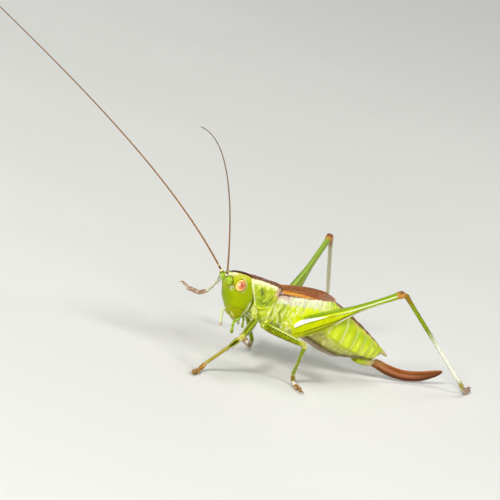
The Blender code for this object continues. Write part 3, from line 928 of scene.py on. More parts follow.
@dataclass
class Coat:
    """Bristles planted on skins, each a thin cone."""

    # (root, direction, length, radius at the root, place in the bake map) of each
    planted: list[tuple[Array, Array, float, float, Couple]] = field(default_factory=list)
    corners: int = 5
    tip: float = 0.12  # its radius, as a share of the root's
    patch: float = 0.0015  # a bristle's radius in the bake map
    margin: float = 0.005  # of the bake map, left clear

    def plant(self, form: Form, ring: int, point: int, lean: float, length: float, width: float) -> None:
        """Plants one bristle.

        Args:
            form: the skin it grows from.
            ring: which ring of it.
            point: which point of the ring.
            lean: 0 for upright, 1 for lying along the limb.
            length: its length.
            width: its radius at the root.
        """
        rings = form.rings
        around = rings[ring, (point + 1) % rings.shape[1]] - rings[ring, point - 1]
        along = unit(rings[min(ring + 1, len(rings) - 1), point] - rings[max(ring - 1, 0), point])
        normal = unit(np.cross(around, along))
        if normal @ (rings[ring, point] - rings[ring].mean(axis=0)) < 0:
            normal = -normal
        root, way = rings[ring, point] - normal * width, unit(normal * (1 - lean) + along * lean)
        self.planted.append((root, way, length, width, (point / rings.shape[1], ring / len(rings))))

    def scatter(self, form: Form, count: int, shares: Couple, lean: float, length: float,
                width: float, seed: int) -> None:
        """Plants bristles at random.

        Args:
            form: the skin they grow from.
            count: how many.
            shares: the shares of its length between which they grow.
            lean: as plant() takes it.
            length: their usual length.
            width: their radius at the root.
            seed: which random draw.
        """
        draw = np.random.default_rng(seed)
        rings, points = form.rings.shape[:2]
        for _ in range(count):
            ring = int(draw.uniform(*shares) * (rings - 1))
            self.plant(form, ring, int(draw.integers(points)), lean, length * draw.uniform(0.7, 1.2), width)

    def row(self, form: Form, shares: Array, turn: float, lean: float, length: float, width: float) -> None:
        """Plants a row of spines.

        Args:
            form: the skin they grow from.
            shares: the places of each along its length.
            turn: their place round it, from 0 to 1.
            lean: as plant() takes it.
            length: their length.
            width: their radius at the root.
        """
        rings, points = form.rings.shape[:2]
        for share in shares:
            self.plant(form, int(share * (rings - 1)), int(turn * points) % points, lean, length, width)

    def build(self, name: str) -> Object:
        """Makes all the bristles one mesh, each with a small patch of the bake map.

        Args:
            name: the name that it gets.

        Returns:
            The object.
        """
        obj = started(bpy.ops.mesh.primitive_cone_add, vertices=self.corners, radius1=1.0, radius2=self.tip,
                      depth=1.0, location=(0, 0, 0.5))
        bpy.ops.object.transform_apply(location=True, rotation=False, scale=False)
        shape = np.array([vert.co for vert in obj.data.vertices])
        faces = [tuple(face.vertices) for face in obj.data.polygons]
        roots, ways, lengths, widths, places = (np.array(values) for values in zip(*self.planted))
        across = unit(np.cross(ways, np.where(np.abs(ways[:, 2:]) > 0.9, LEFT, UP)))
        third = np.cross(ways, across)
        widths, lengths = widths[:, None, None], lengths[:, None, None]
        points = (
            roots[:, None]
            + across[:, None] * shape[:, :1] * widths
            + third[:, None] * shape[:, 1:2] * widths
            + ways[:, None] * shape[:, 2:] * lengths
        )
        points[..., 2] = np.maximum(points[..., 2], FLOOR_GAP)  # those under a foot lie flat on the floor
        count = len(shape)
        mesh = bpy.data.meshes.new(name)
        every = [tuple(v + count * k for v in face) for k in range(len(roots)) for face in faces]
        mesh.from_pydata(points.reshape(-1, 3).tolist(), [], every)
        layer = mesh.uv_layers.new(name="OFBake")
        owners = np.empty(len(mesh.loops), np.int32)
        mesh.loops.foreach_get("vertex_index", owners)
        spread = np.concatenate([shape[:, :2]] * len(roots))[owners] * self.patch
        middle = places[owners // count] * (1 - 2 * self.margin) + self.margin
        layer.data.foreach_set("uv", (middle + spread).astype(np.float32).ravel())
        obj.data = mesh
        obj.name = name
        choose(obj)
        bpy.ops.object.shade_smooth()
        return obj


# ---- trunk


@dataclass
class Trunk:
    """The thorax and abdomen: one skin with its plates, folds and markings."""

    # (place, dorsal y, dorsal z, ventral y, ventral z, half width), from neck to tail
    stations: Stations = (
        (0.0, -2.1, 6.1, -2.35, 4.8, 0.78), (1.0, -0.7, 6.38, -1.55, 3.95, 1.14),
        (2.0, 1.0, 6.48, 0.1, 3.45, 1.34), (3.0, 2.6, 6.5, 1.8, 3.15, 1.42),
        (4.0, 4.1, 6.4, 3.4, 2.72, 1.5), (5.0, 5.5, 6.05, 4.8, 2.12, 1.54),
        (6.0, 6.9, 5.36, 6.2, 1.72, 1.48), (7.0, 8.2, 4.62, 7.45, 1.68, 1.32),
        (8.0, 9.35, 3.9, 8.6, 1.72, 1.1), (9.0, 10.4, 3.2, 9.65, 1.74, 0.82),
        (10.0, 11.35, 2.48, 10.7, 1.92, 0.42),
    )
    centre: float = 0.52  # share of a section's depth above its widest line
    squareness: float = 2.3
    back_squareness: Stations = ((0.0, 2.6), (1.0, 3.8), (1.6, 6.5), (4.2, 6.5), (5.5, 3.0), (7.0, 2.3))
    inset: float = 0.03
    rings: int = 440
    points: int = 160
    # the edges of the back's plates, and (place, share of the depth) of the fold below them
    tergites: tuple[float, ...] = (1.9, 2.75, 3.7, 4.7, 5.72, 6.65, 7.5, 8.25, 8.95, 9.55, 10.6)
    fold: Stations = ((1.5, 0.5), (3.5, 0.44), (5.25, 0.35), (6.8, 0.28), (7.7, 0.21), (10.0, 0.12))
    keel: float = 0.11  # height of the belly plates' edge
    step: float = 0.055  # by which one tergite stands over the next
    pleat: float = 0.52  # between the folds of the soft skin under the wings
    round_from: float = 9.2  # the place from which its end is rounded off
    # the lines of the grooves between the side plates of the thorax
    front_grooves: tuple[Line, ...] = (
        ((1.1, -0.62, 6.2), (1.25, -0.72, 5.2), (1.15, -0.8, 4.4)),
        ((1.2, -0.68, 6.3), (1.3, -0.35, 5.4), (1.2, 0.18, 4.4)),
    )
    rear_grooves: tuple[Line, ...] = (
        ((1.2, -0.38, 6.6), (1.3, 0.0, 5.9), (1.33, 0.34, 5.3), (1.25, 0.7, 4.5)),
        ((1.3, 0.7, 6.4), (1.35, 0.95, 5.5), (1.3, 1.45, 4.5)),
    )
    # (line, half width) of the dark slits under the wing, and where the breathing hole is
    slits: tuple[tuple[Line, float], ...] = (
        (((1.45, 1.95, 5.95), (1.45, 2.0, 5.6)), 0.035), (((1.45, 0.95, 6.05), (1.45, 0.98, 5.75)), 0.03),
    )
    breathing_hole: Place = (1.25, -0.65, 5.97)
    # (y, half width, lowest share of the depth) of the brown band down the back
    band: Stations = (
        (4.6, 0.8, 0.84), (5.2, 1.1, 0.82), (6.4, 0.98, 0.77), (8.0, 0.82, 0.76), (9.5, 0.6, 0.76),
        (11.0, 0.32, 0.76),
    )

    def form(self) -> Form:
        """The plain body, without its plates and folds.

        Returns:
            The form.
        """
        place, top, low, half = profile(self.stations, self.rings)
        depth = np.linalg.norm(top - low, axis=1)
        up = unit(top - low)
        sizes = np.stack([half, depth * self.centre, depth * (1 - self.centre)], 1)
        round_off = np.sqrt(1 - np.clip((place - self.round_from) / 0.8, 0, 1) ** 2 * 0.9)
        sizes = (sizes - self.inset) * round_off[:, None]
        middle = top - up * (depth * self.centre)[:, None]
        above = through(self.back_squareness, np.minimum(place, self.back_squareness[-1][0]))
        return sections(middle, LEFT, up, sizes, self.points, self.squareness, above)

    def shape(self) -> Form:
        """The body with its plates and folds, and the marks for its colours.

        Returns:
            The form.
        """
        form = self.form()
        place = form.share * self.stations[-1][0]
        height = np.where(form.rise > 0, 1 - (1 - form.rise) * self.centre,
                          (1 + form.rise) * (1 - self.centre))
        phase = phased(self.tergites, place)
        behind = ease(place, self.tergites[0] - 0.05, self.tergites[0] + 0.05)
        fold = one(self.fold, place)
        plated = ease(height, fold - 0.01, fold + 0.03) * behind
        membrane = ease(height, fold, fold - 0.05) * ease(height, self.keel, self.keel + 0.04)
        rearwards = ease(place, 3.1, 3.9)
        membrane = membrane * rearwards
        sternite = ease(height, self.keel + 0.02, self.keel - 0.02) * behind
        gap = np.minimum(phase, 1 - phase)
        rise = self.step * phase**1.6 + 0.05 * np.sin(pi * phase) - 0.02 * bell(gap, 0.05)
        wrinkle = 0.02 * np.sin(place * 26 + 3 * form.side) * ripple(form.rings, 0.6, 3)
        lift = plated * rise - membrane * (0.09 - wrinkle - 0.03 * np.sin(pi * phase))
        lift += sternite * (0.03 * np.sin(pi * phase) - 0.05 * bell(gap, 0.06))
        lift -= 0.07 * bell(height - fold, 0.025) * rearwards
        lift += 0.008 * ripple(form.rings, 0.5, 5)
        points = form.rings
        front, rear = (np.minimum(*(away(points, line) for line in lines))
                       for lines in (self.front_grooves, self.rear_grooves))
        creases = np.minimum(front, rear)
        sides = 1 - behind
        lift += sides * (0.05 - 0.16 * bell(creases, 0.07) + 0.04 * ripple(points, 0.45, 8))
        x, y, z = np.abs(points[..., 0]), points[..., 1], points[..., 2]
        soft = ease(z, 5.3, 5.7) * ease(y, -0.4, 0.1) * ease(y, 5.6, 4.8)
        pleat = np.sin(2 * pi * y / self.pleat + 2.2 * ripple(points * (1, 1, 0.35), 0.9, 9))
        lift += soft * (0.016 * pleat + 0.025 * ripple(points * (1, 2.0, 0.5), 0.45, 10))
        form.swell(lift)

        tail = ease(place, 9.9, 7.8)
        ends = (self.band[0][0], self.band[-1][0])
        half_band, lowest = np.moveaxis(through(self.band, np.clip(y, *ends)), -1, 0)
        wavy = x + 0.05 * ripple(points, 0.3, 2)
        band = ease(wavy, half_band + 0.05, half_band - 0.05) * ease(height, lowest, lowest + 0.05)
        band = band * ease(y, 2.0, 3.0)
        plate_middle = 0.7 * plated * bell(phase - 0.45, 0.25)
        keel_end = ease(place, 9.2, 8.4)
        form.marks = {
            "stripe": band * (0.45 + 0.55 * tail),
            "stripe_edge": bell(wavy - half_band - 0.1, 0.1) * ease(height, 0.64, 0.72) * ease(y, 4.5, 5.5)
            * (0.35 + 0.65 * bell(phase - 0.75, 0.3)),
            "seam": bell(np.minimum(phase + 0.02, 1.02 - phase), 0.09) * plated * ease(place, 2.6, 3.0),
            "bloom": ease(z + 0.12 * ripple(points * (1, 2, 0.4), 0.5, 19), 5.62, 5.88) * ease(y, 4.9, 2.6)
            * ease(x, 0.4, 0.9) * ease(y, -1.0, -0.2),
            # painted light over the flanks' own lime colour: brighter yellow along the middle of the flanks
            # and of the back's plates
            "lime_and_painted_light": ease(z, 3.2, 3.8) * ease(z, 6.1, 5.6) * ease(y, 0.2, 0.9) * ease(y, 5.2, 3.4)
            + plate_middle * ease(height, 0.75, 0.6) * ease(place, 4.5, 5.2),
            "front_cool": plated * bell(phase - 0.2, 0.2) * ease(height, 0.5, 0.8) * ease(place, 4.8, 5.4),
            "belly": ease(height, fold + 0.01, fold - 0.08) * ease(height, self.keel, self.keel + 0.04)
            * rearwards,
            "keel": sternite * ease(place, 9.4, 8.4),
            "keel_line": bell(height - self.keel, 0.035) * behind * (0.75 + 0.25 * bell(gap, 0.3)) * keel_end,
            # painted highlight: a pale band on the side plates beside their front grooves
            "plate": sides * bell(front - 0.22, 0.12) * ease(z, 6.2, 5.4),
            "pleura": ease(y, 2.2, 1.4) * ease(z, 5.9, 5.4) * ease(y, -1.9, -1.5),
            "hinge": ease(z + 0.05 * ripple(points, 0.3, 20), 6.0, 6.16) * ease(y, 0.9, 0.4)
            * ease(x, 0.7, 1.0),
            # painted shade in the grooves between the side plates
            "crease_line_and_shade": sides * bell(creases, 0.07),
            "dark": sides * bell(rear, 0.035) * ease(z, 4.9, 5.3)
            + sum(bell(away(points, line), wide) for line, wide in self.slits)
            + bell(np.linalg.norm(folded(points) - self.breathing_hole, axis=-1), 0.09),
        }
        return form

    def build(self) -> None:
        """Makes the trunk's skin and its down."""
        form = self.shape()
        nodes = ["thorax", *(f"abdomen_{number}" for number in range(1, 5))]
        settle(form.build("trunk_skin"), TRUNK, nodes)
        coat = Coat()
        coat.scatter(form, 420, (0.62, 0.99), 0.75, 0.1, 0.006, 21)
        settle(coat.build("trunk_down"), BRISTLE)


# ---- head


@dataclass
class Head:
    """The head capsule with its peak, lip and jaws, the eyes and the feelers' first joints."""

    # (place, front y, front z, rear y, rear z, half width), from the crown to the mouth
    stations: Stations = (
        (-0.6, -4.3, 7.56, -3.15, 7.5, 0.16), (0.0, -4.6, 7.47, -2.95, 7.42, 0.46),
        (1.0, -4.94, 7.16, -2.46, 7.14, 0.88), (2.0, -4.97, 6.66, -2.25, 6.6, 1.06),
        (3.0, -4.87, 6.06, -2.15, 5.9, 1.14), (4.0, -4.7, 5.46, -2.22, 5.3, 1.1),
        (5.0, -4.38, 4.9, -2.38, 4.83, 1.01), (6.0, -4.05, 4.42, -2.66, 4.38, 0.87),
        (7.0, -3.7, 4.02, -2.88, 3.98, 0.66), (8.0, -3.3, 3.64, -3.02, 3.64, 0.38),
    )
    squareness: float = 2.2
    rear_squareness: float = 2.25
    rings: int = 130
    points: int = 120
    peak_root: Place = (0.0, -3.9, 7.34)
    peak_tip: Place = (0.0, -5.08, 7.36)
    voxel: float = 0.026
    eye_centre: Place = (0.96, -4.06, 6.71)
    eye_radii: Place = (0.37, 0.41, 0.48)
    eye_lean: float = -14.0
    eye_axis: Place = (0.92, -0.27, 0.31)  # where the eye's dark disc looks
    scape_base: Place = (0.46, -4.72, 6.66)
    scape_tip: Place = (0.47, -5.2, 7.3)
    # (x, y, z, half width, half thickness, half height, tilt) of the lip and the two jaws
    mouth: Stations = (
        (0.0, -3.8, 4.3, 0.4, 0.12, 0.44, 41.0), (0.4, -3.48, 4.36, 0.36, 0.4, 0.52, 24.0),
        (-0.4, -3.48, 4.36, 0.36, 0.4, 0.52, 24.0),
    )
    # the lines of its grooves
    suture: Line = (
        (0, -4.47, 5.04), (0.33, -4.36, 4.94), (0.58, -4.25, 4.92), (0.75, -4.1, 4.91), (0.9, -3.88, 4.88),
        (1.0, -3.57, 4.88), (0.98, -3.17, 4.82), (0.9, -2.91, 4.8),
    )
    cheek: Line = ((0.93, -3.86, 6.15), (1.02, -3.85, 5.6), (0.95, -3.92, 4.95))
    lip: Line = ((0, -4.2, 4.6), (0.34, -4.12, 4.6), (0.44, -3.98, 4.52))
    jaw: Line = ((0.44, -3.98, 4.52), (0.4, -3.76, 4.18), (0.28, -3.52, 3.88))
    bite: Line = ((0, -3.9, 4.0), (0, -3.45, 3.75))
    brow: Line = ((0.2, -4.6, 7.25), (0.2, -4.95, 6.7), (0.25, -4.99, 6.3))
    # the lines that only its colours follow, and the middle of a pale fleck
    lip_edge: Line = ((0.5, -3.94, 4.4), (0.57, -3.72, 4.21), (0.54, -3.56, 4.03), (0.5, -3.4, 3.88))
    rear_edge: Line = ((1.02, -2.9, 6.5), (1.08, -2.75, 5.9), (0.98, -2.5, 5.4))
    peak_line_dark: Line = ((0, -5.05, 7.15), (0.04, -5.02, 6.95))
    fleck: Place = (0.72, -4.64, 6.42)

    def blank(self) -> Object:
        """The capsule, peak, lip and jaws melted into one skin.

        Returns:
            The object.
        """
        _, front, rear, half = profile(self.stations, self.rings)
        depth = np.linalg.norm(front - rear, axis=1) / 2
        sizes = np.stack([half, depth, depth], 1) - 0.02
        skull = sections((front + rear) / 2, LEFT, unit(front - rear), sizes, self.points,
                         self.rear_squareness, self.squareness)
        share = np.linspace(0, 1, 60)
        girth = domed(share, 0.1, 0.12)[:, None]
        peak = tube(line_of(np.array(self.peak_root), np.array(self.peak_tip), 60),
                    one(((0, 0.24), (1, 0.16)), share)[:, None] * np.array((1.0, 0.75, 1.1)) * girth, 40, 2.4)
        pieces = [skull.build("head_skin"), peak.build("peak")]
        for x, y, z, wide, thick, tall, tilt in self.mouth:
            pieces.append(started(
                bpy.ops.mesh.primitive_uv_sphere_add, segments=48, ring_count=32, radius=1.0,
                location=(x, y, z), scale=(wide, thick, tall), rotation=(radians(tilt), 0, 0),
            ))
            bpy.ops.object.transform_apply(location=True, rotation=True, scale=True)
        head = joined("head_skin", pieces)
        applied(head, "REMESH", mode="VOXEL", voxel_size=self.voxel, use_smooth_shade=True)
        return applied(head, "SMOOTH", factor=0.5, iterations=6)

    def eye_turn(self) -> Array:
        """The matrix by which the eyes lean."""
        return np.array(Matrix.Rotation(radians(self.eye_lean), 3, "X"))

    def carve(self, head: Object) -> None:
        """Cuts the sockets and sutures into the skin, and marks its colours.

        Args:
            head: the melted skin.
        """
        count = len(head.data.vertices)
        points, normals = np.empty(count * 3, np.float32), np.empty(count * 3, np.float32)
        head.data.vertices.foreach_get("co", points)
        head.data.vertices.foreach_get("normal", normals)
        points, normals = points.reshape(-1, 3).astype(float), normals.reshape(-1, 3).astype(float)
        x, y, z = np.abs(points[:, 0]), points[:, 1], points[:, 2]

        eye = np.linalg.norm((folded(points) - self.eye_centre) @ self.eye_turn() / self.eye_radii, axis=-1)
        base = np.array(self.scape_base)
        socket = away(points, (self.scape_base, tuple(base + (self.scape_tip - base) * 0.4)))
        lines = (self.suture, self.cheek, self.lip, self.jaw, self.bite, self.brow)
        suture, cheek, lip, jaw, bite, brow = (away(points, line) for line in lines)

        lift = 0.045 * bell(eye - 1.22, 0.12) - 0.05 * bell(eye - 1.03, 0.07)
        lift += 0.05 * bell(socket - 0.36, 0.05) - 0.08 * bell(socket - 0.25, 0.07)
        lift -= 0.03 * bell(suture, 0.04) + 0.012 * bell(cheek, 0.05) + 0.05 * bell(lip, 0.035)
        lift -= 0.04 * bell(jaw, 0.04) + 0.04 * bell(bite, 0.03) + 0.02 * bell(brow, 0.08)
        lift += 0.012 * ripple(points, 0.45, 11) + 0.004 * ripple(points, 0.16, 12)
        points += normals * lift[:, None]
        head.data.vertices.foreach_set("co", points.astype(np.float32).ravel())

        half_stripe = one(((-5.2, 0.09), (-4.6, 0.16), (-3.8, 0.36), (-2.6, 0.56)), y)
        marked(head, {
            "stripe": ease(x + 0.03 * ripple(points, 0.2, 4), half_stripe + 0.03, half_stripe - 0.03)
            * ease(z, 7.05, 7.18),
            "crown": ease(z + 0.08 * ripple(points, 0.3, 6), 6.95, 7.4) * ease(eye, 1.0, 1.2),
            "patch": bell(x - half_stripe - 0.13, 0.14) * ease(z, 6.9, 7.05)
            * (0.15 + 0.85 * ease(y, -4.1, -4.5)) * ease(y, -3.3, -3.7)
            + bell(np.linalg.norm(np.stack([x, y, z], 1) - self.fleck, axis=1), 0.14),
            "hindmost": bell(away(points, self.rear_edge), 0.1),
            "shade": ease(z, 6.6, 5.8) * ease(y, -4.2, -4.8),
            "jaw": ease(suture, 0.02, 0.08) * ease(z + 0.04 * (y + 4.4), 4.92, 4.86),
            "lip": bell(away(points, self.lip_edge), 0.06),
            # the cheek's pale rear rim is its own colour; the pale crescent behind each eye is a painted
            # highlight
            "rim": bell(normals[:, 1] - 0.52, 0.15) * ease(z, 5.6, 5.3) * ease(x, 0.25, 0.4)
            + 0.7 * bell(eye - 1.2, 0.06) * ease(y, -4.0, -3.8),
            "suture": bell(suture, 0.05) * ease(x, 0.15, 0.45) * (0.65 + 0.35 * ripple(points, 0.12, 9)),
            # painted shade: a dark brown ring round each scape, where it sits in its socket
            "socket": bell(socket - 0.33, 0.06),
            # a purple-brown fleck down the front of the peak, and painted shade: a faint dark ring in the
            # groove round each eye
            "peak_dark_and_orbit_shade": bell(away(points, self.peak_line_dark), 0.09) + bell(eye - 1.05, 0.05) * 0.35,
        })

    def eye(self, side: int) -> Form:
        """An eye, dark where it looks and pale round its rim.

        Args:
            side: 1 for the left one, -1 for the right one.

        Returns:
            The form.
        """
        turn = np.linspace(0, pi, 70)
        ball = sections(np.stack([0 * turn, 0 * turn, np.cos(turn)], 1), LEFT, np.array((0, 1.0, 0)),
                        np.sin(turn), 96)
        looks = np.degrees(np.arccos(np.clip(ball.rings @ unit(sided(self.eye_axis, side)), -1, 1)))
        ball.marks = {"ring": ease(looks, 60, 46), "disc": ease(looks, 44, 30), "spot": bell(looks, 11) * 0.8}
        ball.rings = (ball.rings * (np.array(self.eye_radii) - 0.006)) @ self.eye_turn().T
        ball.rings += sided(self.eye_centre, side)
        return ball

    def build(self) -> None:
        """Makes the head."""
        head = self.blank()
        self.carve(head)
        settle(head, FACE, ("head_capsule", "labrum", "mandible_left", "mandible_right"))
        for side, word in SIDES.items():
            settle(self.eye(side).build(f"eye_{word}_lens"), EYE, (f"eye_{word}",))
            self.scape(side)

    def scape(self, side: int) -> None:
        """Makes a feeler's thick first joint, with the small second one.

        Args:
            side: 1 for the left one, -1 for the right one.
        """
        base, tip = sided(self.scape_base, side), sided(self.scape_tip, side)
        way = unit(tip - base)
        radii = ((0, 0.19), (0.25, 0.25), (0.6, 0.275), (0.85, 0.235), (1, 0.2))
        barrel = strand(base - way * 0.12, tip - way * 0.1, radii, 60, 40, (0.06, 0.14))
        ends = np.maximum(ease(barrel.share, 0.9, 0.98), bell(barrel.share - 0.16, 0.06))
        barrel.marks = {"joint": ends * 0.7, "pale": 0.0}
        neck = strand(tip - way * 0.16, tip + way * 0.16,
                      ((0, 0.13), (0.3, 0.15), (0.75, 0.155), (1, 0.12)), 40, 32, (0.1, 0.2))
        neck.marks = {"joint": bell(neck.share - 0.35, 0.12), "pale": ease(neck.share, 0.45, 0.6)}
        name = f"scape_{SIDES[side]}"
        settle(joined(f"{name}_skin", [barrel.build("barrel"), neck.build("neck")]), SCAPE, (name,))


# ---- feelers and palps


@dataclass
class Feeler:
    """A flagellum whose bearings turn evenly from its base to its tip, ringed by its many short joints."""

    side: int
    azimuth: Couple
    elevation: Couple
    base: Place = (0.47, -5.2, 7.3)
    clear: float = 0.12
    length: float = 38.0
    radii: tuple[Couple, ...] = ((0.0, 0.085), (0.03, 0.072), (0.3, 0.055), (1.0, 0.03))
    joint: float = 0.34  # length of one
    rings: int = 900
    points: int = 10

    def path(self) -> Array:
        """The flagellum's course.

        Returns:
            Points a millimetre apart.
        """
        places = [sided(self.base, self.side) + heading(self.azimuth[0], self.elevation[0]) * self.clear]
        for step in range(round(self.length)):
            share = step / self.length
            bearings = [start + (end - start) * share for start, end in (self.azimuth, self.elevation)]
            places.append(places[-1] + heading(*bearings))
        return np.array(places)

    def build(self) -> None:
        """Makes the flagellum."""
        coarse = self.path()
        share = np.linspace(0, 1, self.rings)
        stations = [(k, *place) for k, place in enumerate(coarse)]
        path = through(stations, share * (len(coarse) - 1))
        phase = (share * self.length / self.joint) % 1.0
        near = np.minimum(phase, 1 - phase)
        radius = one(self.radii, share) * (1 - 0.16 * bell(near, 0.14)) * domed(share, 0.001, 0.004)
        form = tube(path, radius, self.points)
        wide = np.broadcast_to(near[:, None], form.share.shape)
        reach = form.share * self.length
        form.marks = {
            "joint": bell(wide, 0.16) * 0.8 + ease(reach, 0.55, 0.4) * ease(reach, 0.15, 0.25),
            "pale": ease(reach, 0.42, 0.5) * ease(reach, 0.66, 0.6),
            "far": ease(form.share, 0.1, 0.6),
        }
        word = SIDES[self.side]
        nodes = [f"feeler_{word}_{number}" for number in range(1, 4)]
        settle(form.build(f"flagellum_{word}"), FEELER, nodes)


@dataclass
class Palps:
    """The four small feelers of the mouth."""

    maxillary: Line = ((0.56, -2.9, 4.2), (0.88, -3.7, 3.72), (0.86, -3.58, 2.82))
    # the far one is held out in front of the chin
    held_out: Line = ((0.52, -3.2, 4.1), (0.88, -3.86, 4.12), (0.86, -3.6, 2.76))
    labial: Line = ((0.3, -2.62, 4.2), (0.34, -2.5, 3.85), (0.34, -2.42, 3.18))

    def build(self) -> None:
        """Makes both pairs."""
        for side, word in SIDES.items():
            places = self.maxillary if side > 0 else self.held_out
            self.palp(f"maxillary_palp_{word}", places, side, (0.0, 0.12, 0.26, 0.52, 0.74, 1.0), 0.115)
            self.palp(f"labial_palp_{word}", self.labial, side, (0.0, 0.25, 0.6, 1.0), 0.1)

    def palp(self, node: str, places: Line, side: int, joints: tuple[float, ...], radius: float) -> None:
        """Makes one palp: a bent string of joints, each widest near its end.

        Args:
            node: the solid that it stands for.
            places: its root, its bend and its tip, on the left side.
            side: 1 for the left one, -1 for the right one.
            joints: their edges, from 0 to 1.
            radius: its greatest radius.
        """
        base, bend, tip = (sided(place, side) for place in places)
        share = np.linspace(0, 1, 140)
        elbow = [(0.0, *base), (0.38, *(base + (bend - base) * 0.85)), (0.48, *bend),
                 (0.6, *(bend + (tip - bend) * 0.2)), (1.0, *tip)]
        phase = phased(joints, share)
        size = radius * (0.8 + 0.22 * np.sin(pi * phase**1.6)) * domed(share, 0.06, 0.06)
        form = tube(through(elbow, share), size, 28)
        wide = np.broadcast_to(np.minimum(phase, 1 - phase)[:, None], form.share.shape)
        far = 1.0 if side < 0 else 0.0
        tip_end = ease(form.share, 0.84, 0.95)
        form.marks = {"joint": bell(wide, 0.1), "tip": tip_end * (1 - far),
                      "pale": far * ease(form.share, 0.2, 0.4), "pink": tip_end * far}
        settle(form.build(f"{node}_skin"), PALP, (node,))
        coat = Coat()
        coat.scatter(form, 60, (0.25, 0.98), 0.5, 0.07, 0.004, 31)
        settle(coat.build(f"{node}_down"), BRISTLE)


# ---- shield and wings


def lattice(rows: int, columns: int, first: float) -> tuple[Array, Array]:
    """Rows from 0 to 1 and columns from first to 1, as two fields of a sheet."""
    return np.meshgrid(np.linspace(0, 1, rows), np.linspace(first, 1, columns), indexing="ij")


def shell(name: str, points: Array, lift: Array, marks: Marks, inside: Place, thickness: float) -> Object:
    """A sheet with relief on its outer face and a wall behind it.

    Args:
        name: the piece's name.
        points: rows by columns by 3.
        lift: how far each point stands out.
        marks: values at each point.
        inside: a place behind the sheet.
        thickness: of the wall.

    Returns:
        The object.
    """
    normal = unit(np.cross(np.gradient(points, axis=1), np.gradient(points, axis=0)))
    normal *= np.sign((normal * (points - inside)).sum())
    sheet = grid(name, points + normal * lift[..., None], marks)
    if sum(face.normal.dot(face.center - Vector(inside)) for face in sheet.data.polygons) < 0:
        in_edit(sheet, bpy.ops.mesh.flip_normals)
    choose(sheet)
    bpy.ops.object.shade_smooth()
    return applied(sheet, "SOLIDIFY", thickness=thickness, offset=-1.0)


